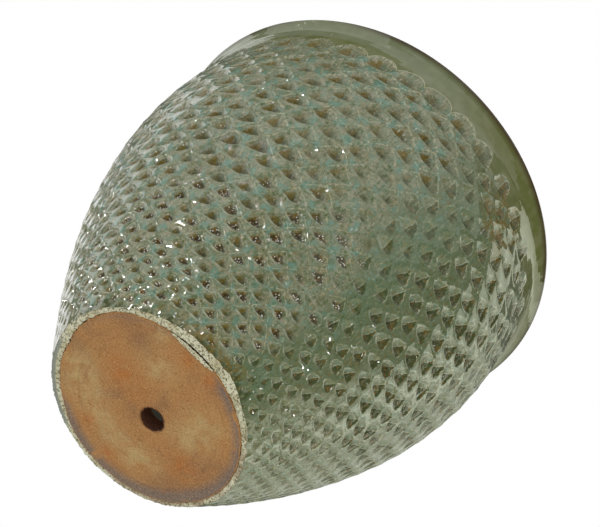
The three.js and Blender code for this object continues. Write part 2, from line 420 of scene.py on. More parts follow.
@dataclass(frozen=True)
class ToolMark:
    """One stroke of the carving tool: a wide low point with a crease down its middle.

    Across, sizes are shares of half a cell's width, and up, of a row's height. Depth is a share
    of half a cell's width.
    """

    rise: float = 0.86
    heel: float = 0.17
    lip: float = 0.27
    depth: float = 0.42
    flat_face: float = 1.12
    filled_face: float = 1.55
    point_round: float = 1.12
    base_round: float = 1.5
    arch_round: float = 2.2
    ridge_at: float = 1.12
    ridge_spread: float = 0.2

    def side(self, x: np.ndarray, y: np.ndarray, lean: np.ndarray, width: np.ndarray) -> np.ndarray:
        """How far to the side of the crease a place lies.

        Args:
            x: Places across, from the stroke's middle.
            y: Places up, from the middle of its row.
            lean: How far the crease runs to the right for each row that it climbs.
            width: The share of its full width that the stroke has.

        Returns:
            0 on the crease, -1 and 1 at the left and right ends of the stroke.
        """
        crease = lean * np.maximum(y + self.heel, 0)
        away = x - crease
        return away / (width - np.sign(away) * crease)

    def gauge(self, side: np.ndarray, y: np.ndarray, arched: np.ndarray, bulge: np.ndarray) -> np.ndarray:
        """How far out in the stroke a place lies.

        Args:
            side: How far to the side of the crease it lies.
            y: Places up, from the middle of its row.
            arched: 1 where the stroke ends in a round arch, and 0 where it ends in a point.
            bulge: How much rounder than a diamond its outline is.

        Returns:
            0 at the heel and 1 on the outline: (|side|^k + up^k)^(1/k), where up is the share of the
            rise or of the lip, with one k above the heel and another below it.
        """
        side = np.abs(side)
        above = (y + self.heel) / (self.rise + arched * (1 + self.heel - self.rise))
        below = -(y + self.heel) / self.lip
        k = self.point_round + bulge + arched * (self.arch_round - self.point_round - bulge)
        high = (side**k + np.maximum(above, 0) ** k) ** (1 / k)
        low = (side**self.base_round + np.maximum(below, 0) ** self.base_round) ** (1 / self.base_round)
        return np.where(above >= 0, high, low)

    def cut(self, gauge: np.ndarray, filled: np.ndarray) -> np.ndarray:
        """How deep the stroke cuts: steep only in its middle where thick glaze has filled it."""
        power = self.flat_face + filled * (self.filled_face - self.flat_face)
        return self.depth * np.maximum(1 - gauge, 0) ** power

    def burr(self, gauge: np.ndarray, y: np.ndarray) -> np.ndarray:
        """The low ridge that the tool pushed up just outside the lower outline, from 0 to 1."""
        ridge = np.exp(-(((gauge - self.ridge_at) / self.ridge_spread) ** 2))
        return ridge * ease(y + self.heel, 0.02, -0.04)


@dataclass(frozen=True)
class Handwork:
    """How the strokes vary over a grid of places.

    Filled is 1 where thick glaze has rounded off their faces, reach is the share of its full size
    that a stroke has, width is the same for its width alone, bulge is how much rounder than a
    diamond its outline is, and lean is how far its crease runs to the right for each row that it
    climbs.
    """

    filled: np.ndarray
    reach: np.ndarray
    width: np.ndarray
    bulge: np.ndarray
    lean: np.ndarray


@dataclass(frozen=True)
class Relief:
    """Staggered rows of strokes, each row turned half a cell from the one below it."""

    form: PotForm = field(default_factory=PotForm)
    mark: ToolMark = field(default_factory=ToolMark)
    cells_round: int = 39
    start: float = 0.007
    below_neck: float = 0.005
    row_pitch: float = 1.03
    turn: float = math.radians(2.8)
    arch_reach: float = 1.03
    swell: float = 0.05
    burr: float = 0.04
    uneven: float = 0.17
    stray_share: float = 0.4
    wander: float = 0.035
    wander_size: float = 0.35
    far_out: float = 2.0
    steps: int = 2001
    end_steps: int = 20

    @cached_property
    def rows(self) -> tuple[np.ndarray, np.ndarray]:
        """Counts the rows. Each is as high as half a cell is wide times the pitch, which gives a
        little so that a whole number of rows fits.

        Returns:
            Heights, and the number of the row at each.
        """
        heights = np.linspace(self.start, self.form.neck_height - self.below_neck, self.steps)
        pitch = self.row_pitch * self.half_cell(heights) * np.cos(self.form.lean(heights))
        steps = np.diff(heights) / (pitch[1:] + pitch[:-1]) * 2
        numbers = np.concatenate([[0], np.cumsum(steps)])
        return heights, numbers * round(numbers[-1]) / numbers[-1]

    @property
    def row_count(self) -> int:
        """How many rows fit."""
        return round(self.rows[1][-1])

    def half_cell(self, height: np.ndarray) -> np.ndarray:
        """Half a cell's width, measured round the wall at a height."""
        return math.pi * self.form.radius(height) / self.cells_round

    def height_of(self, row: np.ndarray) -> np.ndarray:
        """The height of a row number, which may lie between two rows."""
        return np.interp(row, self.rows[1], self.rows[0])

    def row_at(self, height: np.ndarray) -> np.ndarray:
        """The row number at a height, carried on past both ends at the end rows' own pitch.

        Args:
            height: Heights in metres.

        Returns:
            Row numbers with their fractions.
        """
        heights, numbers = self.rows
        inner = np.interp(height, heights, numbers)
        low, high = self.end_steps, -1 - self.end_steps
        low_pitch = (heights[low] - heights[0]) / (numbers[low] - numbers[0])
        high_pitch = (heights[-1] - heights[high]) / (numbers[-1] - numbers[high])
        past = np.maximum(height - heights[-1], 0) / high_pitch
        return inner + past + np.minimum(height - heights[0], 0) / low_pitch

    def read(self, angles: np.ndarray, heights: np.ndarray, hand: Handwork) -> Marks:
        """Reads the strokes over a grid.

        Args:
            angles: Columns, in radians.
            heights: Rows, in metres.
            hand: How the strokes vary over the grid.

        Returns:
            cut: the depth of the deepest stroke that reaches a place, as a share of half a cell's
            width, less a slight swell where four strokes meet and the burr below each. gauge,
            side and above: where in the nearest stroke the place lies, above being its rows over
            the heel. luck: that stroke's own chance number, 0 to 1. meet: 1 where four meet.
        """
        rng = np.random.default_rng(int(Seed.STROKES))
        shape = (self.row_count + 6, 2 * self.cells_round)
        strength = 1 + self.uneven * rng.standard_normal(shape)
        move_x, move_y = self.stray_share * self.uneven * rng.standard_normal((2, *shape))
        luck = rng.random(shape)
        u = ((angles - self.turn) / FULL_TURN * 2 * self.cells_round)[None, :]
        v = self.row_at(heights)[:, None]
        grid = np.broadcast_shapes(u.shape, v.shape)
        size = self.wander_size * len(angles) / self.cells_round / 2
        u = u + self.wander * grain(grid, size, size, Seed.WANDER_ROUND)
        v = v + self.wander * grain(grid, size, size, Seed.WANDER_UP)
        # The stroke whose diamond holds the place: u + v and u - v are both odd at its middle.
        rising = 2 * np.floor((u + v) / 2) + 1
        falling = 2 * np.floor((u - v) / 2) + 1
        home_u, home_v = (rising + falling) / 2, (rising - falling) / 2
        deepest, burr = np.zeros(grid), np.zeros(grid)
        nearest = {name: np.zeros(grid) for name in ("side", "above", "luck")}
        outermost = np.full(grid, self.far_out)
        for step_u, step_v in ((0, 0), (1, 1), (1, -1), (-1, 1), (-1, -1)):
            mid_u, mid_v = home_u + step_u, home_v + step_v
            row = np.clip(mid_v.astype(int) + 2, 0, shape[0] - 1)
            column = mid_u.astype(int) % shape[1]
            carved = (mid_v > -1.5) & (mid_v < self.row_count - 0.5)
            arched = (mid_v > self.row_count - 1.5).astype(float)
            x, y = u - mid_u - move_x[row, column], v - mid_v - move_y[row, column]
            side = self.mark.side(x, y, hand.lean, hand.width)
            reach = hand.reach + arched * (self.arch_reach - hand.reach)
            gauge = self.mark.gauge(side, y, arched, hand.bulge) / reach
            gauge = np.where(carved, gauge, self.far_out)
            here = {"side": side, "above": y + self.mark.heel, "luck": luck[row, column]}
            nearest = {name: np.where(gauge < outermost, here[name], nearest[name]) for name in here}
            outermost = np.minimum(outermost, gauge)
            cut = strength[row, column] * hand.width * self.mark.cut(gauge, hand.filled)
            burr = np.maximum(burr, self.mark.burr(gauge, y))
            deepest = np.maximum(deepest, cut)
        meet = ((1 + np.cos(math.pi * u) * np.cos(math.pi * v)) / 2) ** 2
        meet = meet * Span(-0.5, self.row_count - 0.8, 0.5).over(v)
        cut = deepest - self.swell * meet - self.burr * burr
        return nearest | {"cut": cut, "gauge": outermost, "meet": meet}


@dataclass(frozen=True)
class Zones:
    """Where the glaze ran, pooled and thinned, and where painted light and shade lie, in degrees round the
    pot and metres up it.

    Stray is a grid of random swells that makes the zones' edges wander.
    """

    run: Patch = Patch(21, 6.5, Span(0.02, 0.205, 0.03))
    run_at_neck: Patch = Patch(14, 13, Span(0.222, 0.3, 0.02), 0.25)
    run_at_foot: Patch = Patch(23, 8, Span(0, 0.013, 0.008))
    quiet_side: Span = Span(0, 19, 15)
    quiet_rise: Span = Span(0.058, 0.165, 0.03)
    fading: Patch = Patch(-18, 12, Span(0.12, 0.175, 0.03))
    left: Span = Span(-130, -44, 14)
    middle: Span = Span(16, 44, 8)
    right: Span = Span(54, 140, 10)
    round_side: Span = Span(17, 150, 10)
    lee_side: Span = Span(17, 150, 9)
    brown_at_neck: Patch = Patch(28, 9, Span(0.210, 0.250, 0.012), 0.6)
    crust_shade_side: Span = Span(-75, 26, 9)
    # Where the pits get dark floors with painted glints.
    glinting_pits_side: Span = Span(-150, 10, 10)
    milk_side: Span = Span(-75, 12, 22)

    def pooled(self, angle: np.ndarray, height: np.ndarray, stray: np.ndarray) -> np.ndarray:
        """Where thick clear green glaze drowns the relief: a run down the wall, thinner low down,
        that spreads a little at the neck and gathers at the foot.

        Args:
            angle: Columns, in degrees.
            height: Rows, in metres.
            stray: Random swells.

        Returns:
            The share, from 0 to 1.
        """
        angle = angle + 3.0 * stray
        height = height + 0.008 * stray
        run = self.run.over(angle, height) * (0.35 + 0.65 * ease(height, 0.04, 0.10))
        spread = self.run_at_neck.over(angle, height) + self.run_at_foot.over(angle, height)
        return np.clip(run + spread, 0, 1)

    def relief_strength(self, angle: np.ndarray, height: np.ndarray, stray: np.ndarray) -> np.ndarray:
        """How much of the carved depth the glaze leaves open: less in the quiet zone beside the
        run, a little less left of it, and less at the foot.

        Args:
            angle: Columns, in degrees.
            height: Rows, in metres.
            stray: Random swells.

        Returns:
            The share, about 1 elsewhere.
        """
        angle, height_strayed = angle + 4 * stray, height + 0.01 * stray
        quiet = self.quiet_side.over(angle) * self.quiet_rise.over(height_strayed)
        fading = self.fading.over(angle, height_strayed)
        foot = ease(height, 0.004, 0.026)
        return (1 - 0.58 * quiet) * (1 - 0.35 * fading) * (0.7 + 0.3 * foot) * (1 + 0.10 * stray)

    def handwork(
        self, angle: np.ndarray, height: np.ndarray, stray: np.ndarray, pool: np.ndarray
    ) -> Handwork:
        """How the strokes vary round the pot.

        Args:
            angle: Columns, in degrees.
            height: Rows, in metres.
            stray: Random swells.
            pool: Where thick glaze stands.

        Returns:
            Faces rounded off in the run and by the foot, small strokes on both sides with wide
            lands between them, and creases that lean more and more to the right on the right side.
        """
        filled = np.clip(0.6 * pool + ease(height, 0.03, 0.012) + 0.1 * stray, 0, 1)
        left = self.left.over(angle + 6 * stray)
        middle = self.middle.over(angle + 4 * stray)
        right = self.right.over(angle + 5 * stray)
        reach = 0.98 - 0.14 * left - 0.04 * middle + 0.02 * stray
        width = 1 - 0.30 * middle - 0.18 * right
        bulge = 0.30 * left + 0.28 * self.round_side.over(angle + 5 * stray) + 0.25 * right
        lean = 0.30 * ease(angle, 10, 55) * ease(angle, 175, 130)
        return Handwork(filled, reach, width, bulge, lean)

    def ember(self, angle: np.ndarray, height: np.ndarray) -> np.ndarray:
        """The amber strip beside the crust, near the flake, and the brown patches under the neck."""
        strip = hump(angle, 3, 17) * ease(height, 0.0125, 0.008)
        return strip + self.brown_at_neck.over(angle, height)

    def crust_shade_line(self, angle: np.ndarray, height: np.ndarray) -> np.ndarray:
        """Painted shade: a dark line on the wall just above the crust, where the two meet."""
        return self.crust_shade_side.over(angle) * ease(height, 0.0062 + 0.004 * hump(angle, 6, 16), 0.0042)

    def glinting_pits(self, angle: np.ndarray, height: np.ndarray) -> np.ndarray:
        """Where some pits get dark floors with painted glints, on the left and near the foot."""
        return self.glinting_pits_side.over(angle) * ease(height, 0.135, 0.075)

    def lee(self, angle: np.ndarray, stray: np.ndarray) -> np.ndarray:
        """The side past the run, where right faces carry painted shade in dark green and brown and left
        faces painted light, rather than the left faces being amber.
        """
        return self.lee_side.over(angle + 5 * stray)

    def dusk(self, angle: np.ndarray, height: np.ndarray, stray: np.ndarray) -> np.ndarray:
        """Where the glaze between the strokes is dark: on the lee, less far round near the foot."""
        return Span(15, 29 + 24 * ease(height, 0.020, 0.140), 9).over(angle + 5 * stray)

    def face_shade_off(self, angle: np.ndarray, height: np.ndarray) -> np.ndarray:
        """Where the painted shade on the strokes' right faces is left off, low on the right."""
        start = 50 - 14 * ease(height, 0.045, 0.020)
        return Span(start, 150, 9).over(angle) * ease(height, 0.085, 0.045)

    def milky(self, angle: np.ndarray, height: np.ndarray, stray: np.ndarray) -> np.ndarray:
        """Where the glaze is cloudy and blue-green rather than olive, from 0 to 1."""
        side = self.milk_side.over(angle + 9 * stray + 16 * ease(height, 0.165, 0.215))
        return np.clip(0.25 + 0.75 * side * ease(height, 0.26, 0.235) + 0.14 * stray, 0, 1)


@dataclass(frozen=True)
class CarvedWall:
    """The wall, in bands that meet without a step and are closed with a plain back."""

    relief: Relief = field(default_factory=Relief)
    zones: Zones = field(default_factory=Zones)
    samples: int = 18
    bands: int = 8
    skirt_rows: int = 7
    neck_rows: int = 5
    back_rows: int = 4
    back_share: float = 0.95
    clear_of_slab: float = 0.0668
    skirt: float = 0.0008
    sharp: float = 0.035
    soft: float = 0.13
    ripple: float = 0.00016

    @property
    def form(self) -> PotForm:
        """The form that the wall follows."""
        return self.relief.form

    def grid(self) -> tuple[np.ndarray, np.ndarray]:
        """Spreads columns and rows so that the lattice's crossings fall on both.

        Returns:
            Angles of the columns and heights of the rows.
        """
        angles = columns_round(2 * self.relief.cells_round * self.samples, self.relief.turn)
        relief = self.relief.height_of(np.arange(self.relief.row_count * self.samples + 1) / self.samples)
        below = np.linspace(self.skirt, relief[0], self.skirt_rows + 1)[:-1]
        above = np.linspace(relief[-1], self.form.neck_height, self.neck_rows + 1)[1:]
        return angles, np.concatenate([below, relief, above])

    def surface(self) -> tuple[np.ndarray, Marks]:
        """Works out the whole carved surface.

        Returns:
            Its points, which lie under the form by the carving's depth, and what the glaze reads.
            pit: how deep a place lies. gauge, side, above and luck: where in its stroke it lies,
                and the stroke's chance number. meet: 1 where four strokes meet. crisp: how plain the
                stroke shows. pool, milk, lee, ember, crust_shade_line, dusk, glinting_pits, face_shade_off
                and rim: the zones, some of which place painted light, shade and glints.
        """
        angles, heights = self.grid()
        degrees = in_degrees(angles)
        shape = (len(heights), len(angles))
        cell = self.samples
        stray = grain(shape, 2.0 * cell, 2.8 * cell, Seed.STRAY)
        fine_stray = grain(shape, 0.6 * cell, 0.8 * cell, Seed.FINE_STRAY)
        up = heights[:, None]
        zones = self.zones
        pool = zones.pooled(degrees, up, 0.7 * stray + 0.5 * fine_stray)
        strength = zones.relief_strength(degrees, up, stray)
        read = self.relief.read(angles, heights, zones.handwork(degrees, up, stray, pool))
        raw = read.pop("cut") * strength
        crisp = blurred(raw, self.sharp * cell, self.sharp * cell)
        soft = blurred(raw, self.soft * cell, self.soft * cell)
        drowned = np.clip(0.55 * pool + ease(up, 0.016, 0.004), 0, 1)
        cut = crisp + (soft - crisp) * drowned
        ripple = self.ripple * grain(shape, 1.4 * cell, 1.4 * cell, Seed.RIPPLE)
        ripple = ripple * ease(up, self.form.neck_height, self.form.neck_height - 0.012)
        radius, height = self.form.under(up, cut * self.relief.half_cell(up) + ripple)
        row = self.relief.row_at(heights)[:, None]
        top = ease(row, self.relief.row_count - 1.4, self.relief.row_count - 0.8)
        marks = read | {
            "pit": np.clip(cut / self.relief.mark.depth, 0, 1),
            "crisp": ease(strength, 0.40, 0.85) * (1 - pool),
            "pool": pool,
            "milk": zones.milky(degrees, up, 0.6 * stray + 0.5 * fine_stray),
            "lee": zones.lee(degrees, stray),
            "ember": zones.ember(degrees, up + 0.0015 * fine_stray),
            "crust_shade_line": zones.crust_shade_line(degrees, up + 0.0008 * fine_stray),
            "dusk": zones.dusk(degrees, up, stray),
            "glinting_pits": zones.glinting_pits(degrees + 8 * stray, up + 0.015 * stray),
            "face_shade_off": zones.face_shade_off(degrees + 8 * stray, up + 0.012 * stray),
            "rim": top * ease(read["gauge"], 0.98, 1.10),
        }
        return ring_points(angles, radius, height), marks

    def build(self, finish: bpy.types.Material) -> list[bpy.types.Object]:
        """Makes the bands of the wall.

        Args:
            finish: The carved glaze.

        Returns:
            The bands from the foot up.
        """
        angles, heights = self.grid()
        points, marks = self.surface()
        normals = normals_of(points)
        cuts = np.linspace(0, len(heights) - 1, self.bands + 1).astype(int)
        plain = np.zeros((self.back_rows, len(angles)))
        pieces = []
        for band, (low, high) in enumerate(zip(cuts, cuts[1:])):
            front = slice(low, high + 1)
            back_heights = np.linspace(heights[high], heights[low], self.back_rows)
            radius, height = self.form.under(back_heights, self.form.wall * self.back_share)
            beside_slab = back_heights < self.form.floor * 1.5
            radius = np.where(beside_slab, np.maximum(radius, self.clear_of_slab), radius)
            height = np.clip(height, heights[low], heights[high])
            back = ring_points(angles, radius[:, None], height[:, None])
            ring = np.concatenate([points[front], back])
            turned = np.concatenate([normals[front], normals_of(back)])
            worn = {name: np.concatenate([values[front], plain]) for name, values in marks.items()}
            piece = closed_ring(f"carved_wall_{band + 1}", ring, worn, turned)
            pieces.append(settle(piece, "carved_wall", finish))
        return pieces


# The plain pieces of the pot


@dataclass(frozen=True)
class Piece(ABC):
    """A piece of the pot that follows the thrown form."""

    form: PotForm = field(default_factory=PotForm)

    @abstractmethod
    def build(self, finish: bpy.types.Material) -> bpy.types.Object:
        """Makes the piece.

        Args:
            finish: Its material.

        Returns:
            The object, settled on its CAD node.
        """


@dataclass(frozen=True)
class RimCollar(Piece):
    """The flared collar with its round lip, slightly uneven from the potter's fingers."""

    columns: int = 624
    outer_rows: int = 40
    lip_rows: int = 14
    inner_rows: int = 26
    waver: float = 0.00025
    throwing: float = 0.000015
    throwing_pitch: float = 0.0021
    free_above_neck: float = 0.008
    run: tuple[float, float] = (16, 19)
    milk_side: Span = Span(-110, -12, 30)

    def build(self, finish: bpy.types.Material) -> bpy.types.Object:
        """Makes a closed ring: up the form's flare, over a half circle, and down to the neck.

        Args:
            finish: Its material.

        Returns:
            The object, settled on its CAD node.
        """
        form = self.form
        angles = columns_round(self.columns)
        heights = np.linspace(form.neck_height, form.lip_height, self.outer_rows)
        bend = np.linspace(0, math.pi, self.lip_rows)[1:-1]
        half = form.lip_thickness / 2
        inner_radius = form.neck_radius - form.wall
        down = np.linspace(0, 1, self.inner_rows)
        radius = np.concatenate([
            form.radius(heights),
            form.lip_radius - half + half * np.cos(bend),
            form.lip_radius - 2 * half + (inner_radius - form.lip_radius + 2 * half) * down,
        ])
        height = np.concatenate([
            heights,
            form.lip_height + half * np.sin(bend),
            form.lip_height + (form.neck_height - form.lip_height) * down,
        ])
        shape = (len(radius), self.columns)
        free = ease(height, form.neck_height, form.neck_height + self.free_above_neck)[:, None]
        swell = -np.abs(self.waver * grain(shape, 9, 26, Seed.COLLAR))
        rings = self.throwing * np.sin(height / self.throwing_pitch * FULL_TURN)[:, None]
        radius = radius[:, None] + free * (swell + rings)
        height = height[:, None]
        lip = ease(height, form.lip_height - 0.004, form.lip_height + 0.001)
        below_lip = ease(height, form.lip_height + 0.001, form.lip_height - 0.006)
        outside = (np.arange(shape[0]) < self.outer_rows + self.lip_rows // 2)[:, None]
        degrees = in_degrees(angles)
        stray = grain(shape, 8, 20, Seed.LIP_BROWN)
        marks = {
            "rim": np.ones(shape),
            "lip": lip * outside * np.clip(0.7 + 0.4 * stray, 0, 1),
            "inside": ~outside * below_lip * np.ones(shape),
            "pool": np.clip(hump(degrees + 3 * stray, *self.run) * ease(height, 0.275, 0.262), 0, 1),
            "milk": np.clip(0.8 * self.milk_side.over(degrees) + 0.1 * stray, 0, 1),
        }
        points = ring_points(angles, radius, height)
        piece = closed_ring("rim_collar_smooth", points, marks, normals_of(points))
        return settle(piece, "rim_collar", finish)


@dataclass(frozen=True)
class InsideGlaze(Piece):
    """The coat of glaze inside, over the rings that throwing left in the wall."""

    columns: int = 216
    rows: int = 150
    back_step: int = 5
    wall_steps: int = 400
    thickness: float = 0.001
    fillet: float = 0.010
    hole_margin: float = 0.002
    below_lip: float = 0.005
    flare: float = 0.35
    groove: float = 0.00022
    groove_pitch: float = 0.0085

    @property
    def mouth(self) -> float:
        """The radius at which the glaze stops short of the drain hole."""
        return self.form.hole_radius + self.hole_margin

    def line(self, inset: float) -> np.ndarray:
        """The inside line, drawn in by an inset, from under the lip to the axis's side of the floor.

        Args:
            inset: How far the line lies inside the clay.

        Returns:
            Radius and height, evenly spread along the line.
        """
        form = self.form
        floor = form.floor + form.seat_gap + inset
        rise = form.lip_height - self.below_lip - form.neck_height
        wall_heights = np.linspace(form.neck_height, 0.0, self.wall_steps)
        radius, height = form.under(wall_heights, form.wall + form.seat_gap + inset)
        keep = height > floor + self.fillet
        wall = np.stack([radius[keep], height[keep]], 1)
        corner = np.interp(floor, height[::-1], radius[::-1])
        turn = [(corner + 0.002, floor + 0.002), (corner - 0.001, floor), (corner - self.fillet, floor)]
        bend = bezier([tuple(wall[-1]), *turn], 40)
        top = wall[0] + np.array([rise * self.flare, rise])
        hole = np.array([[self.mouth, floor]])
        line = np.concatenate([top[None, :], wall, bend[1:], hole])
        gone = np.concatenate([[0], np.cumsum(np.hypot(*np.diff(line, axis=0).T))])
        even = np.linspace(0, gone[-1], self.rows)
        return np.stack([np.interp(even, gone, line[:, 0]), np.interp(even, gone, line[:, 1])], 1)

    def build(self, finish: bpy.types.Material) -> bpy.types.Object:
        """Makes a closed ring: the back from the hole up in long steps, and the face from the lip
        down, with a spiral groove. Each row's centre moves from the pot's axis to the hole's.

        Args:
            finish: Its material.

        Returns:
            The object, settled on its CAD node.
        """
        angles = columns_round(self.columns)
        back = self.line(0.0)[::-self.back_step]
        face = self.line(self.thickness)
        turns = face[:, 1:] / self.groove_pitch + angles[None, :] / FULL_TURN
        on_wall = ease(face[:, 1:], 0.02, 0.05) * ease(face[:, 1:], 0.262, 0.245)
        groove = self.groove * np.sin(FULL_TURN * turns) * on_wall
        face_radius = face[:, :1] + np.minimum(groove, 0)
        radius = np.concatenate([np.broadcast_to(back[:, :1], (len(back), self.columns)), face_radius])
        line = np.concatenate([back, face])
        to_hole = ease(line[:, 0], 0.040, self.mouth)
        centre = to_hole[:, None, None] * np.array(self.form.hole_centre)
        piece = closed_ring("glaze_lining_smooth", ring_points(angles, radius, line[:, 1:], centre))
        return settle(piece, "glaze_lining", finish)


@dataclass(frozen=True)
class FootEdge:
    """Where the bare clay ends and how far the crust climbs, all round the foot.

    Each station has an angle in degrees, the radius of the clay's edge and the crust's height.
    """

    stations: tuple[Triple, ...] = (
        (-160, 0.0669, 0.0008), (-145, 0.0648, 0.0007), (-125, 0.0642, 0.0006),
        (-110, 0.0647, 0.0006), (-100, 0.0637, 0.0007), (-90, 0.0650, 0.0007),
        (-80, 0.0666, 0.0008), (-66, 0.0671, 0.0009), (-52, 0.0684, 0.0010),
        (-38, 0.0669, 0.0012), (-22, 0.0664, 0.0020), (2, 0.0664, 0.0028),
        (18, 0.0664, 0.0028), (40, 0.0668, 0.0014), (62, 0.0670, 0.0011),
        (95, 0.0672, 0.0010), (140, 0.0676, 0.0010),
    )
    smoothing_degrees: float = 4
    ragged: float = 0.00022

    def around(self, angles: np.ndarray, column: int) -> np.ndarray:
        """Reads the stations' radius or height smoothly round the foot.

        Args:
            angles: Angles in radians, one for each column.
            column: 1 for the radius, and 2 for the height.

        Returns:
            One value for each angle, with straight stretches between stations rounded off.
        """
        stops = np.array(self.stations)
        values = np.interp(np.degrees(angles), stops[:, 0], stops[:, column], period=360)
        return blurred(values[None, :], 1, len(angles) * self.smoothing_degrees / 360)[0]

    def rough(self, angles: np.ndarray, degrees: float, seed: Seed) -> np.ndarray:
        """Random swells along the edge, each of them some degrees wide."""
        return grain((1, len(angles)), 1, degrees * len(angles) / 360, seed)[0]

    def clay(self, angles: np.ndarray) -> np.ndarray:
        """Works out the ragged line of the clay's edge.

        Args:
            angles: Angles in radians, one for each column.

        Returns:
            One radius for each angle.
        """
        rough = self.rough(angles, 1.6, Seed.CLAY_EDGE) + 0.6 * self.rough(angles, 0.5, Seed.CLAY_EDGE_FINE)
        torn = 1 + 1.6 * hump(np.degrees(angles), -88, 16)
        return self.around(angles, 1) - self.ragged * np.abs(rough) * torn

    def climb(self, angles: np.ndarray) -> np.ndarray:
        """Works out the wandering line up to which the crust climbs.

        Args:
            angles: Angles in radians, one for each column.

        Returns:
            One height for each angle.
        """
        rough = 0.16 * self.rough(angles, 3.0, Seed.CLIMB) + 0.05 * self.rough(angles, 1.0, Seed.CLIMB_FINE)
        broken = 1 - 0.9 * hump(np.degrees(angles), 64, 1.6)
        return self.around(angles, 2) * np.clip(1 + rough, 0.3, 1.8) * broken


@dataclass(frozen=True)
class ClayPatches:
    """Colours that the fire left in the clay, as (angle in degrees, radius, spread) of each."""

    gold: tuple[Triple, ...] = (
        (-108, 0.0500, 0.014), (-129, 0.0457, 0.014), (-151, 0.0409, 0.011), (-177, 0.0388, 0.011),
        (160, 0.0404, 0.010), (142, 0.0428, 0.010), (-26, 0.0609, 0.006), (-22, 0.0347, 0.012),
        (50, 0.0418, 0.013), (76, 0.0300, 0.012),
    )
    rust: tuple[Triple, ...] = (
        (-76, 0.0302, 0.010), (-60, 0.0163, 0.010), (-5, 0.0558, 0.005), (-155, 0.0502, 0.007),
        (176, 0.0544, 0.007), (106, 0.0416, 0.012), (13, 0.0600, 0.006),
    )
    umber: tuple[Triple, ...] = (
        (-48, 0.0616, 0.009), (-39, 0.0492, 0.010), (126, 0.0489, 0.012), (99, 0.0480, 0.012),
        (-150, 0.0100, 0.007), (-95, 0.0610, 0.007), (82, 0.0570, 0.010), (107, 0.0590, 0.011),
        (19, 0.0600, 0.008), (136, 0.0600, 0.010),
    )
    grey_side: Span = Span(22, 214, 16)
    thin_grey_side: Span = Span(-80, -11, 7)
    grey_from: float = 0.0600
    grey_soft: float = 0.0045

    def stain(self, points: np.ndarray, spots: tuple[Triple, ...]) -> np.ndarray:
        """Adds up round spots.

        Args:
            points: The clay's points.
            spots: The spots' places and spreads.

        Returns:
            The sum of a bell curve about each spot, held between 0 and 1.
        """
        total = np.zeros(points.shape[:-1])
        for angle, radius, spread in spots:
            x, y = radius * math.sin(math.radians(angle)), -radius * math.cos(math.radians(angle))
            away = (points[..., 0] - x) ** 2 + (points[..., 1] - y) ** 2
            total += np.exp(-away / spread**2)
        return np.clip(total, 0, 1)

    def grey(self, points: np.ndarray) -> np.ndarray:
        """The grey band inside the crust: wide on the far side, thin or missing at the flake.

        Args:
            points: The clay's points.

        Returns:
            How grey each point is, from 0 to 1.
        """
        angle, radius = round_axis(points)
        degrees = np.degrees(angle)
        wide = self.grey_side.over((degrees + 360) % 360)
        thin = 0.5 * self.thin_grey_side.over(degrees)
        inner = self.grey_from + 0.004 * (1 - wide)
        inner = inner + 0.0025 * hump(degrees, 60, 30) - 0.002 * hump(degrees, 115, 25)
        return np.maximum(wide, thin) * ease(radius, inner - self.grey_soft, inner + self.grey_soft)


@dataclass(frozen=True)
class CrustFlake(Piece):
    """The sliver of glaze that lifted from the edge of the foot, with a slit behind it."""

    middle: float = math.radians(-6)
    half_span: float = math.radians(15)
    tip_share: float = 0.995
    outer: float = 0.0653
    width: float = 0.0036
    thickness: float = 0.0011
    slit: float = 0.0009
    seat_depth: float = 0.0045
    seat_outer: float = 0.0668
    ripple: float = 0.00013
    columns: int = 120
    rows: int = 16

    def section(self, angle: np.ndarray) -> tuple[np.ndarray, np.ndarray]:
        """The sliver's middle radius and half width at an angle.

        Args:
            angle: Angles in radians.

        Returns:
            The middle, which bows in towards the axis, and half the width, which falls to nothing
            at the tips as the root of 1 minus the square of the share of the half span.
        """
        share = np.clip((angle - self.middle) / self.half_span, -1, 1)
        half = self.width / 2 * np.sqrt(np.maximum(1 - share**2, 0)) * (1 + 0.25 * share)
        ripple = self.ripple * (np.sin(61 * angle) + np.sin(134 * angle + 1))
        outer = self.outer + self.slit * (share**2 + 0.35 * ease(share, 0.1, -0.6)) + ripple
        return outer - half, half

    def seat(self, points: np.ndarray) -> np.ndarray:
        """Works out the seat of the sliver and its slit in the clay.

        Args:
            points: The clay's points.

        Returns:
            How far each point is sunk, in metres.
        """
        angle, radius = round_axis(points)
        middle, half = self.section(angle)
        inside = ease(radius, middle - half - 0.0001, middle - half + 0.0004)
        reach = ease(np.abs(angle - self.middle), self.half_span * 1.05, self.half_span * 0.94)
        return self.seat_depth * inside * reach * (radius < self.seat_outer)

    def build(self, finish: bpy.types.Material) -> bpy.types.Object:
        """Makes a tube of oval section, bent along the edge of the foot and closed at both tips.

        Args:
            finish: Its material.

        Returns:
            The object, settled on its CAD node.
        """
        share = np.linspace(-self.tip_share, self.tip_share, self.columns)
        angles = self.middle + self.half_span * share
        middle, half = self.section(angles)
        turn = columns_round(self.rows)
        shape = (self.rows, self.columns)
        lumps = grain(shape, 1.2, 1.6, Seed.FLAKE_LUMPS)
        thick = self.thickness / 2 * (half / half.max()) ** 0.5
        radius = middle + (half + 0.00012 * lumps) * np.cos(turn)[:, None]
        height = 0.0001 + thick + (thick + 0.00006 * lumps) * np.sin(turn)[:, None]
        points = ring_points(angles, radius, np.maximum(height, 0.00003)).reshape(-1, 3)
        index = np.arange(self.rows * self.columns).reshape(shape)
        up = np.roll(index, -1, 0)
        sides = triangles_of(index[:, :-1], index[:, 1:], up[:, 1:], up[:, :-1])
        tips = np.stack([points[index[:, 0]].mean(0), points[index[:, -1]].mean(0)])
        first, last = np.full(self.rows, len(points)), np.full(self.rows, len(points) + 1)
        start = np.stack([index[:, 0], up[:, 0], first], 1)
        end = np.stack([up[:, -1], index[:, -1], last], 1)
        faces = np.concatenate([sides, start, end])
        piece = mesh_piece("crust_sliver", np.concatenate([points, tips]), faces)
        return settle(piece, "crust_flake", finish)


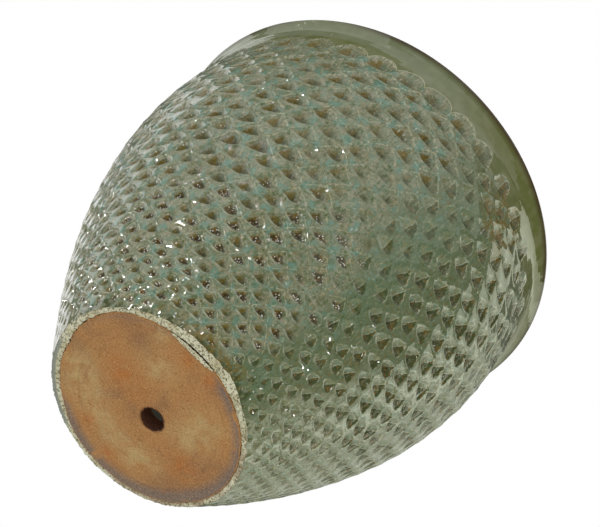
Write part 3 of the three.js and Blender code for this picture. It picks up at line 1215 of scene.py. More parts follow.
@dataclass(frozen=True)
class ClayFoot(Piece):
    """The bare clay slab of the foot, with the drain hole, its torn edge and the flake's seat."""

    edge: FootEdge = field(default_factory=FootEdge)
    patches: ClayPatches = field(default_factory=ClayPatches)
    flake: CrustFlake = field(default_factory=CrustFlake)
    radius: float = 0.0665
    edge_round: float = 0.0009
    columns: int = 672
    face_rows: int = 120
    edge_rows: int = 5
    top_rows: int = 5
    bore_rows: int = 17
    bore_from: float = 0.0006
    mouth_spread: float = 0.0009
    mouth_depth: float = 0.0008
    torn: float = 0.00030
    uneven: float = 0.00012
    grit: float = 0.00007
    ring_depth: float = 0.00005
    ring_pitch: float = 0.0016

    def build(self, finish: bpy.types.Material) -> bpy.types.Object:
        """Makes a closed ring: out along the resting face, round the edge, in over the top and
        down the drain hole. Each row's centre moves from the hole's to the slab's.

        Args:
            finish: Its material.

        Returns:
            The object, settled on its CAD node.
        """
        hole = self.form.hole_radius
        angles = columns_round(self.columns)
        out = np.linspace(0, 1, self.face_rows)[:, None]
        bend = np.linspace(0, math.pi / 2, self.edge_rows + 1)[1:, None]
        flat_edge = self.edge.clay(angles)[None, :] - self.edge_round
        top_radius = np.linspace(self.radius - 0.0005, hole, self.top_rows)
        radius = np.concatenate([
            hole + (flat_edge - hole) * out,
            flat_edge + self.edge_round * np.sin(bend),
            np.broadcast_to(top_radius[:, None], (self.top_rows, self.columns)),
            np.full((self.bore_rows, self.columns), hole),
        ])
        height = np.concatenate([
            np.zeros(self.face_rows),
            self.edge_round * (1 - np.cos(bend[:, 0])),
            np.full(self.top_rows, self.form.floor),
            np.linspace(self.form.floor, self.bore_from, self.bore_rows + 1)[1:],
        ])[:, None]
        shape = radius.shape
        share = np.clip((radius - hole) / (self.radius - hole), 0, 1)
        row = np.arange(shape[0])[:, None]
        is_face, is_bore = row < self.face_rows, row >= shape[0] - self.bore_rows
        torn = grain(shape, 2.0, 14, Seed.TORN_BORE) * 0.5 + grain(shape, 1.2, 5, Seed.TORN_BORE_FINE) * 0.5
        turns = FULL_TURN * radius / self.ring_pitch + 2.0 * grain(shape, 5, 60, Seed.THROWING_RINGS)
        worn = self.uneven * np.abs(grain(shape, 5, 12, Seed.WORN_CLAY))
        worn = worn + self.ring_depth * (0.5 + 0.5 * np.sin(turns))
        worn = worn + self.grit * np.abs(grain(shape, 1.0, 1.6, Seed.WORN_CLAY_FINE))
        mouth = np.exp(-(((radius - hole) / self.mouth_spread) ** 2)) * is_face
        radius = radius + torn * self.torn * np.maximum(is_bore, mouth)
        height = height + is_face * worn + mouth * self.mouth_depth
        centre = (1 - share)[..., None] * np.array(self.form.hole_centre)
        points = ring_points(angles, radius, height, centre)
        sunk = self.flake.seat(points) * (row < self.face_rows + self.edge_rows)
        points[..., 2] += sunk
        marks = {
            name: self.patches.stain(points, spots) * is_face
            for name, spots in (
                ("gold", self.patches.gold), ("rust", self.patches.rust), ("umber", self.patches.umber),
            )
        }
        marks |= {
            "grey": self.patches.grey(points) * is_face,
            # Painted shade: dark in the drain hole's bore, round its mouth and in the flake's seat.
            "hole_shade": np.maximum(np.maximum(is_bore, 0.7 * mouth), np.clip(sunk / 0.002, 0, 1)),
            "streak": 0.5 + 0.2 * grain(shape, 0.6, 9, Seed.STREAKS)
            + 0.1 * grain(shape, 1.6, 30, Seed.WIDE_STREAKS),
        }
        piece = closed_ring("clay_foot", points, marks)
        return settle(piece, "foot_slab", finish)


@dataclass(frozen=True)
class FootCrust(Piece):
    """The ring of pale grainy glaze that ran down and set in the corner round the foot."""

    edge: FootEdge = field(default_factory=FootEdge)
    columns: int = 1800
    rows: int = 40
    off_clay: float = 0.0001
    off_ground: float = 0.00005
    start: float = 0.0010
    heel: float = 0.0016
    skin: float = 0.0009
    full_climb: float = 0.0024
    sag: float = 0.0007
    lump: float = 0.00021
    seen: Span = Span(0.03, 0.68, 0.04)
    whole_side: Span = Span(-185, -40, 12)
    glazed_side: Span = Span(-152, -104, 8)

    def build(self, finish: bpy.types.Material) -> bpy.types.Object:
        """Makes a closed ring. Its section runs out from the clay's edge in a low swell, round the
        corner of the foot and up the wall, then back down inside.

        Args:
            finish: Its material.

        Returns:
            The object, settled on its CAD node.
        """
        angles = columns_round(self.columns)
        loop = np.linspace(0, 1, self.rows, endpoint=False)[:, None]
        shape = (self.rows, self.columns)
        inner = self.edge.clay(angles)[None, :] + self.off_clay
        climb = self.edge.climb(angles)[None, :]
        skin = self.skin * np.clip(climb / self.full_climb, 0.3, 1)
        lean = math.tan(self.form.foot_lean)
        corner = self.form.foot_radius + skin
        low, rise, back = ease(loop, 0.0, 0.42), ease(loop, 0.36, 0.70), ease(loop, 0.70, 0.98)
        swell = np.sin(np.clip(loop / 0.46, 0, 1) * math.pi)
        radius = inner + (corner - inner) * low + (climb * lean - 0.35 * skin) * rise
        height = self.start - self.sag * swell + (climb - self.start) * rise
        radius = radius - back * (corner - inner + climb * lean)
        height = height + back * (self.heel - climb) * 0.5
        lumps = 0.7 * grain(shape, 1.1, 1.5, Seed.CRUST_LUMPS)
        lumps = lumps + 0.5 * grain(shape, 2.6, 4.0, Seed.WIDE_CRUST_LUMPS)
        lumps = self.lump * lumps * self.seen.over(loop)
        radius = radius + lumps
        height = np.maximum(height - 0.7 * lumps, self.off_ground)
        degrees = np.degrees(angles)[None, :] - 360
        thin = ease(climb, 0.0016, 0.0010) * (1 - self.whole_side.over(degrees))
        marks = {
            "thin": thin * np.ones(shape),
            "glazed": self.glazed_side.over(degrees) * ease(radius, 0.0668, 0.0678),
        }
        piece = closed_ring("foot_crust_grainy", ring_points(angles, radius, height), marks)
        return settle(piece, "foot_crust", finish)


# Materials


class Sheet:
    """Lays out the nodes of one material or node group, and keeps the colour laid so far."""

    def __init__(self, tree: bpy.types.NodeTree) -> None:
        """Starts on a node tree.

        Args:
            tree: The tree to fill.
        """
        self.tree = tree
        self.places: dict[Triple, Socket] = {}
        self.colour: object = WHITE

    def node(
        self, kind: str, inputs: dict[str | int, object] | None = None, **settings: object
    ) -> bpy.types.Node:
        """Adds a node.

        Args:
            kind: Blender's name of the node's type.
            inputs: What its inputs take, by name or number.
            settings: Properties of the node.

        Returns:
            The node.
        """
        made = self.tree.nodes.new(kind)
        for name, value in settings.items():
            setattr(made, name, value)
        for socket, value in (inputs or {}).items():
            self.feed(made, socket, value)
        return made

    def feed(self, node: bpy.types.Node, socket: str | int, value: object) -> None:
        """Links a socket to an input, or sets the input to a plain value.

        Args:
            node: The node that takes it.
            socket: The input's name or number.
            value: A socket, a number or a colour.
        """
        target = node.inputs[socket]
        if isinstance(value, Socket):
            self.tree.links.new(value, target)
        elif isinstance(value, tuple) and target.type == "RGBA":
            target.default_value = (*value, 1)
        else:
            target.default_value = value

    def mark(self, name: str) -> Socket:
        """Reads one of the piece's own marks."""
        return self.node("ShaderNodeAttribute", attribute_name=name).outputs["Fac"]

    def place(self, stretch: Triple = UNSTRETCHED) -> Socket:
        """Object coordinates, times a number along each axis."""
        if stretch not in self.places:
            object_place = self.node("ShaderNodeTexCoord").outputs["Object"]
            mapping = self.node("ShaderNodeMapping", {"Vector": object_place, "Scale": stretch})
            self.places[stretch] = mapping.outputs["Vector"]
        return self.places[stretch]

    def length(self, stretch: Triple = UNSTRETCHED) -> Socket:
        """The distance from the origin, in stretched object coordinates."""
        measured = self.node("ShaderNodeVectorMath", {0: self.place(stretch)}, operation="LENGTH")
        return measured.outputs["Value"]

    def noise(
        self, size: float, detail: float = 3, bend: float = 0, stretch: Triple = UNSTRETCHED
    ) -> Socket:
        """Noise about 0.5, in clouds of a size in metres, with finer layers and some twist."""
        inputs = {"Vector": self.place(stretch), "Scale": 1 / size, "Detail": detail, "Distortion": bend}
        return self.node("ShaderNodeTexNoise", inputs).outputs["Fac"]

    def cells(self, size: float) -> Socket:
        """The distance to the nearest of many scattered points, in units of their spacing."""
        inputs = {"Vector": self.place(), "Scale": 1 / size}
        return self.node("ShaderNodeTexVoronoi", inputs).outputs["Distance"]

    def slope(self, value: object, low: float, high: float) -> Socket:
        """Climbs smoothly from 0 at low to 1 at high, as ease does.

        Args:
            value: What it reads.
            low: Where it leaves 0.
            high: Where it reaches 1.

        Returns:
            The share.
        """
        low, high, start, end = (high, low, 1, 0) if high < low else (low, high, 0, 1)
        inputs = {"Value": value, "From Min": low, "From Max": high, "To Min": start, "To Max": end}
        return self.node("ShaderNodeMapRange", inputs, interpolation_type="SMOOTHSTEP").outputs["Result"]

    def stripe(self, value: object, low: float, middle: float, high: float) -> Socket:
        """Climbs from 0 at low to 1 at the middle, and falls to 0 at high."""
        return self.product(self.slope(value, low, middle), self.slope(value, high, middle))

    def sum(self, how: Sum, *values: object) -> object:
        """Puts numbers together one after another, and holds each result between 0 and 1.

        Args:
            how: The arithmetic.
            values: Sockets or numbers.

        Returns:
            The last result, or the value itself if there is only one.
        """

        def join(first: object, second: object) -> Socket:
            """Puts two numbers together."""
            inputs = {0: first, 1: second}
            return self.node("ShaderNodeMath", inputs, operation=how.value, use_clamp=True).outputs[0]

        return reduce(join, values)

    def product(self, *factors: object) -> object:
        """Multiplies numbers from 0 to 1."""
        return self.sum(Sum.TIMES, *factors)

    def sway(self, value: object, noise: object, reach: float) -> Socket:
        """Moves a number up and down with a noise, without holding it between 0 and 1.

        Args:
            value: The number.
            noise: The noise, which lies about 0.5.
            reach: How far it moves the number for each 1 of noise.

        Returns:
            The moved number.
        """
        centred = self.node("ShaderNodeMath", {0: noise, 1: 0.5}, operation="SUBTRACT").outputs[0]
        inputs = {0: centred, 1: reach, 2: value}
        return self.node("ShaderNodeMath", inputs, operation="MULTIPLY_ADD").outputs[0]

    def mix(self, share: object, under: object, over: object, how: Blend = Blend.COVER) -> Socket:
        """Lays a share of a colour over another one."""
        inputs = {0: share, 6: under, 7: over}
        return self.node("ShaderNodeMix", inputs, data_type="RGBA", blend_type=how.value).outputs[2]

    def coat(self, over: object, *shares: object, how: Blend = Blend.COVER) -> None:
        """Lays a colour over the colour so far, as much of it as the shares multiply to."""
        self.colour = self.mix(self.product(*shares), self.colour, over, how)

    def bump(self, height: object, depth: float, strength: float, under: Socket | None = None) -> Socket:
        """Tilts the surface as a height would.

        Args:
            height: A socket from 0 to 1.
            depth: How high 1 stands, in metres.
            strength: How much of the tilt is kept.
            under: Another bump that this one adds to.

        Returns:
            The normal.
        """
        inputs = {"Strength": strength, "Distance": depth, "Height": height}
        if under is not None:
            inputs["Normal"] = under
        return self.node("ShaderNodeBump", inputs).outputs["Normal"]

    def join_shaders(self, share: object, under: Socket, over: Socket) -> Socket:
        """Mixes two shaders by a share."""
        return self.node("ShaderNodeMixShader", {0: share, 1: under, 2: over}).outputs[0]


class StrokeSheet(Sheet):
    """A sheet that also knows where in its stroke a place lies, with edges that waver."""

    def __init__(self, tree: bpy.types.NodeTree) -> None:
        """Starts on a node tree, and reads the wall's marks.

        Args:
            tree: The tree to fill.
        """
        super().__init__(tree)
        self.mottle = self.noise(0.0026, 3, 0.5)
        self.waver = self.noise(0.0021, 2)
        self.gauge = self.sway(self.mark("gauge"), self.waver, 0.45)
        self.side = self.sway(self.mark("side"), self.mottle, 0.40)
        self.on_left, self.on_right = self.slope(self.side, 0.0, -0.05), self.slope(self.side, -0.02, 0.04)
        above = self.sway(self.mark("above"), self.waver, 0.20)
        self.upper, self.lower = self.slope(above, -0.02, 0.03), self.slope(above, 0.03, -0.02)
        self.crisp, self.luck = self.mark("crisp"), self.mark("luck")
        self.pool, self.milk = self.mark("pool"), self.mark("milk")
        self.lee, self.pit = self.mark("lee"), self.mark("pit")


def new_material(name: str, kind: type[Sheet]) -> tuple[bpy.types.Material, Sheet, bpy.types.Node]:
    """Starts a material.

    Args:
        name: Its name.
        kind: The class of its sheet.

    Returns:
        The material, its sheet and its main shader.
    """
    material = bpy.data.materials.new(name)
    material.use_nodes = True
    tree = material.node_tree
    return material, kind(tree), tree.nodes["Principled BSDF"]


def speckle_group() -> bpy.types.NodeTree:
    """Scattered specks in cloudy clusters, for glaze and clay.

    Returns:
        A group that takes a vector, the number of specks a metre and a cover from 0 to 1, and
        puts out a mask of specks.
    """
    tree = bpy.data.node_groups.new("specks", "ShaderNodeTree")
    tree.interface.new_socket("Vector", in_out="INPUT", socket_type="NodeSocketVector")
    for name in ("Scale", "Cover"):
        tree.interface.new_socket(name, in_out="INPUT", socket_type="NodeSocketFloat")
    tree.interface.new_socket("Specks", in_out="OUTPUT", socket_type="NodeSocketFloat")
    sheet = Sheet(tree)
    given = sheet.node("NodeGroupInput").outputs
    dots = sheet.node("ShaderNodeTexVoronoi", {"Vector": given["Vector"], "Scale": given["Scale"]})
    wide = sheet.node("ShaderNodeMath", {0: given["Scale"], 1: 0.2}, operation="MULTIPLY").outputs[0]
    clouds = sheet.node("ShaderNodeTexNoise", {"Vector": given["Vector"], "Scale": wide})
    near = sheet.slope(dots.outputs["Distance"], 0.30, 0.12)
    here = sheet.slope(clouds.outputs["Fac"], 0.62, 0.72)
    sheet.node("NodeGroupOutput", {"Specks": sheet.product(near, here, given["Cover"])})
    return tree


@dataclass(frozen=True)
class Finish(ABC):
    """A finish, made as one material."""

    title: ClassVar[str]
    sheet_kind: ClassVar[type[Sheet]] = Sheet
    specks: bpy.types.NodeTree

    def make(self) -> bpy.types.Material:
        """Builds the material.

        Returns:
            The finished material.
        """
        material, sheet, shader = new_material(self.title, self.sheet_kind)
        self.dress(sheet, shader)
        sheet.feed(shader, "Base Color", sheet.colour)
        return material

    @abstractmethod
    def dress(self, sheet: Sheet, shader: bpy.types.Node) -> None:
        """Lays the colours and sets the rest of the shader.

        Args:
            sheet: The material's sheet.
            shader: Its main shader.
        """

    def speckle(
        self, sheet: Sheet, colour: Colour, scale: float, cover: float, stretch: Triple = UNSTRETCHED
    ) -> None:
        """Scatters specks over the colour so far.

        Args:
            sheet: The material's sheet.
            colour: The colour of the specks.
            scale: How many there are to a metre.
            cover: How solid they are, up to 1.
            stretch: What the coordinates are multiplied by along each axis.
        """
        inputs = {"Vector": sheet.place(stretch), "Scale": scale, "Cover": cover}
        dots = sheet.node("ShaderNodeGroup", inputs, node_tree=self.specks)
        sheet.coat(colour, dots.outputs["Specks"])


@dataclass(frozen=True)
class CarvedGlaze(Finish):
    """The glossy glaze outside: olive, with blue-green clouds where strokes meet. The creases'
    faces are amber on the left, and on the lee the left faces carry painted light and the right
    ones painted shade in brown and dark green. A deep green stands where it pooled, and thin
    lines of cream follow the outlines."""

    title: ClassVar[str] = "carved_green_glaze"
    sheet_kind: ClassVar[type[Sheet]] = StrokeSheet
    olive: Colour = paint(116, 117, 88)
    pink: Colour = paint(154, 142, 114)
    moss: Colour = paint(90, 102, 66)
    cloudy: Colour = paint(120, 128, 104)
    teal: Colour = paint(100, 129, 110)
    mist: Colour = paint(146, 162, 142)
    sheen_pale: Colour = paint(147, 156, 128)
    amber: Colour = paint(108, 92, 32)
    pit_green: Colour = paint(62, 70, 36)
    pit_brown: Colour = paint(84, 70, 32)
    umber: Colour = paint(114, 90, 42)
    burnt: Colour = paint(54, 44, 28)
    rusty: Colour = paint(110, 80, 42)
    shade: Colour = paint(92, 104, 74)
    bronze: Colour = paint(120, 106, 66)
    straw: Colour = paint(122, 126, 92)
    ember: Colour = paint(118, 92, 28)
    deep: Colour = paint(90, 110, 80)
    cream: Colour = paint(180, 174, 138)
    collar: Colour = paint(96, 100, 54)
    neck: Colour = paint(112, 114, 74)
    iron: Colour = paint(66, 42, 20)
    # pale: the pale specks, and the painted glints in the pits.
    pale: Colour = paint(214, 214, 198)
    inside: Colour = paint(92, 92, 58)
    lip: Colour = paint(62, 46, 28)
    green_stain: Colour = (0.72, 0.78, 0.66)
    olive_stain: Colour = (0.66, 0.64, 0.50)
    drawn_down: Triple = (1, 1, 0.25)
    drawn_down_a_little: Triple = (1, 1, 0.6)

    def dress(self, sheet: StrokeSheet, shader: bpy.types.Node) -> None:
        """Lays the coats from the ground up, over slow waves and the craters in the pits.

        Args:
            sheet: The material's sheet.
            shader: Its main shader.
        """
        for lay in (
            self.ground, self.lands, self.pits, self.faces, self.pooled, self.glinting_pits, self.outlines,
            self.foot_edge, self.flecks, self.collar_and_lip,
        ):
            lay(sheet)
        self.speckle(sheet, self.iron, 420.0, 0.7)
        self.speckle(sheet, self.pale, 360.0, 0.45, self.drawn_down)
        sheet.feed(shader, "Roughness", 0.05)
        sheet.feed(shader, "IOR", 1.6)
        waves = sheet.bump(sheet.noise(0.009, 2), 0.0007, 0.30)
        craters = sheet.product(sheet.noise(0.0015, 2), sheet.slope(sheet.pit, 0.08, 0.45))
        sheet.feed(shader, "Normal", sheet.bump(craters, 0.0014, 0.95, waves))

    def ground(self, sheet: StrokeSheet) -> None:
        """Lays the glaze that is there without the strokes.

        Args:
            sheet: The material's sheet.
        """
        clouds = sheet.noise(0.014, 4, 0.4)
        fine = sheet.noise(0.0026, 4, 0.8)
        streaks = sheet.noise(0.004, 3, 0.2, self.drawn_down)
        vein = sheet.noise(0.0065, 2, 1.6)
        patches = sheet.noise(0.005, 4, 0.6, self.drawn_down_a_little)
        sheet.colour = self.olive
        sheet.coat(self.cloudy, sheet.milk, sheet.slope(clouds, 0.36, 0.62))
        sheet.coat(self.pink, sheet.slope(fine, 0.50, 0.62), 0.6)
        sheet.coat(self.moss, sheet.slope(fine, 0.46, 0.34), 0.9)
        sheet.coat(self.green_stain, sheet.slope(streaks, 0.52, 0.8), how=Blend.STAIN)
        sheet.coat(self.cream, sheet.stripe(vein, 0.485, 0.5, 0.515), 0.25)
        sheet.coat(self.moss, sheet.stripe(vein, 0.53, 0.55, 0.57), 0.4)
        meet = sheet.slope(sheet.mark("meet"), 0.15, 0.75)
        sheet.coat(self.teal, meet, sheet.slope(patches, 0.42, 0.60), sheet.milk)
        sheet.coat(self.teal, sheet.slope(patches, 0.52, 0.70), sheet.milk, 0.45)

    def lands(self, sheet: StrokeSheet) -> None:
        """Lays the glaze between the strokes: a pale painted sheen on the lee, and dark where it is dusk.

        Args:
            sheet: The material's sheet.
        """
        dusk = sheet.mark("dusk")
        # Painted sheen: pale grey-green over the lands on the lee.
        sheen_land = sheet.product(sheet.slope(sheet.gauge, 0.80, 1.0), sheet.slope(dusk, 0.8, 0.2))
        sheet.coat(self.sheen_pale, sheen_land, sheet.lee, sheet.slope(sheet.waver, 0.40, 0.56), 0.6)
        land = sheet.product(sheet.slope(sheet.gauge, 0.85, 1.0), dusk)
        sheet.coat(self.shade, land, sheet.slope(sheet.mottle, 0.30, 0.56))
        sheet.coat(self.bronze, land, sheet.slope(sheet.mottle, 0.54, 0.64), 0.6)

    def pits(self, sheet: StrokeSheet) -> None:
        """Lays the glaze in the strokes, brown and green deep down.

        Args:
            sheet: The material's sheet.
        """
        shallow = sheet.slope(sheet.gauge, 0.75, 0.30)
        sheet.coat(self.shade, shallow, sheet.slope(sheet.waver, 0.44, 0.56), 0.6)
        floor = sheet.mix(sheet.slope(sheet.mottle, 0.42, 0.58), self.pit_green, self.pit_brown)
        before_lee = sheet.slope(sheet.lee, 0.7, 0.3)
        deep_down = sheet.product(sheet.slope(sheet.gauge, 0.8, 0.1), sheet.slope(sheet.pit, 0.15, 0.6))
        sheet.coat(floor, deep_down, before_lee, 0.65)
        core = sheet.product(sheet.slope(sheet.gauge, 0.34, 0.18), sheet.slope(sheet.luck, 0.25, 0.45))
        sheet.coat(self.pit_green, core, before_lee, 0.4)

    def faces(self, sheet: StrokeSheet) -> None:
        """Lays amber on the faces left of the creases, painted light on the left faces and painted shade on
        the right faces on the lee, and a dark line round the strokes.

        Args:
            sheet: The material's sheet.
        """
        left = sheet.product(sheet.on_left, sheet.slope(sheet.gauge, 0.72, 0.60), sheet.upper)
        left = sheet.product(left, sheet.slope(sheet.lee, 0.6, 0.4), sheet.crisp)
        thick = sheet.product(sheet.slope(sheet.mottle, 0.28, 0.42), sheet.slope(sheet.luck, -0.3, 0.5))
        sheet.coat(self.amber, left, thick, 0.9)
        # Painted light: straw and teal on the outer edge of the left faces on the lee.
        lit = sheet.product(sheet.on_left, sheet.lee, sheet.slope(sheet.gauge, 1.0, 0.9))
        sheet.coat(self.straw, lit, sheet.upper, 0.8)
        sheet.coat(self.teal, lit, sheet.slope(sheet.mottle, 0.50, 0.60), 0.6)
        # Painted shade: dark green and umber on the right faces on the lee, left off low on the right.
        face_shade_on = sheet.slope(sheet.mark("face_shade_off"), 1.6, 0.0)
        right = sheet.product(sheet.on_right, sheet.slope(sheet.gauge, 1.0, 0.86), sheet.lee, face_shade_on)
        sheet.coat(self.pit_green, right, 0.9)
        sheet.coat(self.umber, right, sheet.slope(sheet.mottle, 0.50, 0.62), 0.6)
        beside = sheet.stripe(sheet.gauge, 1.0, 1.06, 1.14)
        sheet.coat(self.moss, beside, sheet.slope(sheet.mottle, 0.50, 0.58), 0.7)

    def pooled(self, sheet: StrokeSheet) -> None:
        """Lays the deep green of thick glaze, less so in the strokes."""
        out_of_pits = sheet.sum(Sum.ADD, 0.35, sheet.slope(sheet.gauge, 0.5, 0.9))
        sheet.coat(self.deep, sheet.pool, sheet.slope(sheet.mottle, 0.38, 0.56), out_of_pits, 0.75)

    def glinting_pits(self, sheet: StrokeSheet) -> None:
        """Lays dark brown floors in some of the strokes, with pale dots that are painted glints.

        Args:
            sheet: The material's sheet.
        """
        glinting_floor = sheet.product(sheet.mark("glinting_pits"), sheet.slope(sheet.gauge, 0.66, 0.40))
        glinting_floor = sheet.product(glinting_floor, sheet.slope(sheet.luck, 0.38, 0.52))
        sheet.coat(sheet.mix(sheet.slope(sheet.waver, 0.50, 0.62), self.burnt, self.rusty), glinting_floor, 0.75)
        # Painted glints: small pale dots on the dark pit floors.
        sheet.coat(self.pale, glinting_floor, sheet.slope(sheet.cells(0.0016), 0.34, 0.22))

    def outlines(self, sheet: StrokeSheet) -> None:
        """Lays the thin pale glaze along the strokes' lower edges, outlines and creases.

        Args:
            sheet: The material's sheet.
        """
        brim = sheet.product(
            sheet.stripe(sheet.gauge, 0.30, 0.85, 1.35),
            sheet.lower,
            sheet.stripe(sheet.side, -0.95, -0.30, 0.45),
            sheet.slope(sheet.mottle, 0.30, 0.46),
            sheet.sum(Sum.ADD, sheet.crisp, sheet.product(sheet.lee, 0.4)),
        )
        outline = sheet.product(
            sheet.stripe(sheet.gauge, 0.89, 0.98, 1.06),
            sheet.upper,
            sheet.slope(sheet.mottle, 0.40, 0.54),
            sheet.sum(Sum.ADD, 0.6, sheet.product(sheet.crisp, 0.4)),
            sheet.slope(sheet.luck, 0.05, 0.35),
        )
        crease = sheet.product(
            sheet.stripe(sheet.side, -0.08, -0.03, 0.02),
            sheet.slope(sheet.gauge, 0.95, 0.85),
            sheet.upper,
            sheet.lee,
        )
        edge = sheet.mix(sheet.slope(sheet.waver, 0.44, 0.54), self.mist, self.cream)
        thin = sheet.sum(Sum.MOST, brim, outline, crease)
        sheet.coat(edge, thin, sheet.slope(sheet.pool, 1.0, 0.4), 0.85)

    def foot_edge(self, sheet: StrokeSheet) -> None:
        """Lays the amber and brown beside the crust and under the neck, and a dark green line of painted
        shade just above the crust.

        Args:
            sheet: The material's sheet.
        """
        drops = sheet.noise(0.0034, 3, 0.6)
        ember = sheet.mark("ember")
        sheet.coat(self.ember, ember, sheet.slope(drops, 0.42, 0.52), 0.85)
        # Painted shade where the wall meets the crust.
        sheet.coat(self.pit_green, sheet.mark("crust_shade_line"), sheet.slope(drops, 0.60, 0.46), 0.8)
        sheet.coat(self.umber, ember, sheet.slope(drops, 0.54, 0.62), 0.7)

    def flecks(self, sheet: StrokeSheet) -> None:
        """Lays fine dark and pale flecks that are drawn out downwards.

        Args:
            sheet: The material's sheet.
        """
        flecks = sheet.noise(0.0017, 3, 0.4, self.drawn_down)
        sheet.coat(self.olive_stain, sheet.slope(flecks, 0.44, 0.30), how=Blend.STAIN)
        sheet.coat(self.cream, sheet.slope(flecks, 0.56, 0.74), 0.30)

    def collar_and_lip(self, sheet: StrokeSheet) -> None:
        """Lays the plain collar, and the lip where the glaze ran thin and turned brown.

        Args:
            sheet: The material's sheet.
        """
        plain = sheet.mix(sheet.slope(sheet.noise(0.008, 4, 0.3), 0.4, 0.64), self.collar, self.neck)
        plain = sheet.mix(sheet.product(sheet.milk, 0.7), plain, self.cloudy)
        plain = sheet.mix(sheet.product(sheet.pool, 0.6), plain, self.collar)
        rim = sheet.mark("rim")
        sheet.coat(plain, rim)
        sheet.coat(self.cream, sheet.stripe(rim, 0.1, 0.5, 0.9), sheet.slope(sheet.milk, 0.2, 0.6), 0.8)
        sheet.coat(self.inside, sheet.mark("inside"))
        sheet.coat(self.lip, sheet.mark("lip"))


@dataclass(frozen=True)
class LiningGlaze(Finish):
    """The glaze inside, olive brown with slow clouds and darker rings, and painted shade darkening it
    towards the floor.
    """

    title: ClassVar[str] = "lining_glaze"
    green: Colour = paint(88, 86, 54)
    cloudy: Colour = paint(102, 101, 72)
    # deep: the colour of the darker rings and of the painted shade towards the floor.
    deep: Colour = paint(58, 50, 30)
    iron: Colour = paint(40, 26, 14)

    def dress(self, sheet: Sheet, shader: bpy.types.Node) -> None:
        """Lays clouds, rings, painted shade towards the floor and iron specks.

        Args:
            sheet: The material's sheet.
            shader: Its main shader.
        """
        rings = sheet.noise(0.006, 3, 0.3, (0.12, 0.12, 1))
        sheet.colour = self.green
        sheet.coat(self.cloudy, sheet.slope(sheet.noise(0.03, 4, 0.5), 0.4, 0.65))
        sheet.coat(self.deep, sheet.slope(rings, 0.5, 0.7), 0.6)
        # Painted shade: darker towards the floor, deep inside the pot.
        sheet.coat(self.deep, sheet.slope(sheet.length((0, 0, 1)), 0.16, 0.03))
        self.speckle(sheet, self.iron, 300.0, 0.7)
        sheet.feed(shader, "Roughness", sheet.sum(Sum.ADD, 0.28, sheet.product(rings, 0.2)))
        sheet.feed(shader, "IOR", 1.55)
        sheet.feed(shader, "Normal", sheet.bump(rings, 0.0006, 0.5))


@dataclass(frozen=True)
class BareClay(Finish):
    """Fired clay without glaze: orange brown and gritty, with gold and rust patches and a grey
    band inside the crust."""

    title: ClassVar[str] = "bare_clay"
    brown: Colour = paint(163, 116, 65)
    gold: Colour = paint(173, 143, 92)
    rust: Colour = paint(166, 104, 46)
    umber: Colour = paint(142, 101, 62)
    grey: Colour = paint(112, 100, 90)
    grit: Colour = paint(216, 180, 124)
    pore: Colour = paint(70, 42, 22)
    # The colour of the painted shade in the hole and under the flake.
    hole_shade: Colour = paint(84, 48, 22)
    streak_stain: Colour = (0.88, 0.86, 0.84)
    grain_stain: Colour = (0.68, 0.62, 0.56)

    def dress(self, sheet: Sheet, shader: bpy.types.Node) -> None:
        """Lays the fire's patches, then streaks, grain, grit and pores, and painted shade in the drain
        hole's bore, round its mouth and in the flake's seat.

        Args:
            sheet: The material's sheet.
            shader: Its main shader.
        """
        wander = sheet.noise(0.011, 5, 0.4)
        fine = sheet.noise(0.0010, 3)
        slow = sheet.noise(0.024, 3, 0.3)
        patch = sheet.slope(wander, 0.28, 0.66)
        umber = sheet.product(sheet.mark("umber"), sheet.slope(slow, 0.2, 0.6))
        sheet.colour = self.brown
        sheet.coat(self.umber, sheet.sum(Sum.MOST, sheet.slope(slow, 0.5, 0.72), umber))
        sheet.coat(self.gold, sheet.mark("gold"), patch)
        sheet.coat(self.rust, sheet.mark("rust"), patch)
        sheet.coat(self.grey, sheet.mark("grey"), sheet.slope(wander, 0.28, 0.44), 0.85)
        sheet.coat(self.streak_stain, sheet.slope(sheet.mark("streak"), 0.5, 1.0), how=Blend.STAIN)
        sheet.coat(self.grain_stain, sheet.slope(fine, 0.47, 0.31), how=Blend.STAIN)
        sheet.coat(self.grit, sheet.slope(fine, 0.52, 0.72), 0.28)
        self.speckle(sheet, self.pore, 500.0, 0.7)
        # Painted shade in the drain hole and under the flake.
        sheet.coat(self.hole_shade, sheet.mark("hole_shade"))
        sheet.feed(shader, "Roughness", 0.86)
        sheet.feed(shader, "Normal", sheet.bump(fine, 0.0007, 0.4))


@dataclass(frozen=True)
class DriedGlaze(Finish):
    """Glaze that set in a pale grainy crust, earthy where it is thin, with dark pits and pores."""

    title: ClassVar[str] = "dried_glaze"
    cream: Colour = paint(206, 202, 170)
    straw: Colour = paint(184, 175, 136)
    pore: Colour = paint(74, 64, 42)
    moss: Colour = paint(112, 106, 72)
    earth: Colour = paint(168, 152, 122)
    veil: Colour = paint(136, 140, 124)

    def dress(self, sheet: Sheet, shader: bpy.types.Node) -> None:
        """Lays clouds, the thin stretches, the hollows between lumps, then pores and pits.

        Args:
            sheet: The material's sheet.
            shader: Its main shader.
        """
        clouds = sheet.noise(0.009, 3, 0.4)
        lumps = sheet.noise(0.0014, 3)
        sheet.colour = self.cream
        sheet.coat(self.straw, sheet.slope(clouds, 0.4, 0.66))
        sheet.coat(self.earth, sheet.mark("thin"), sheet.slope(clouds, 0.3, 0.6))
        sheet.coat(self.moss, sheet.slope(lumps, 0.52, 0.36), 0.9)
        sheet.coat(self.veil, sheet.mark("glazed"))
        self.speckle(sheet, self.pore, 620.0, 1.0)
        sheet.coat(self.pore, sheet.slope(sheet.cells(0.0011), 0.30, 0.14), 0.75)
        sheet.feed(shader, "Roughness", 0.6)
        sheet.feed(shader, "Normal", sheet.bump(lumps, 0.0008, 0.8))


# Floor, lights and camera


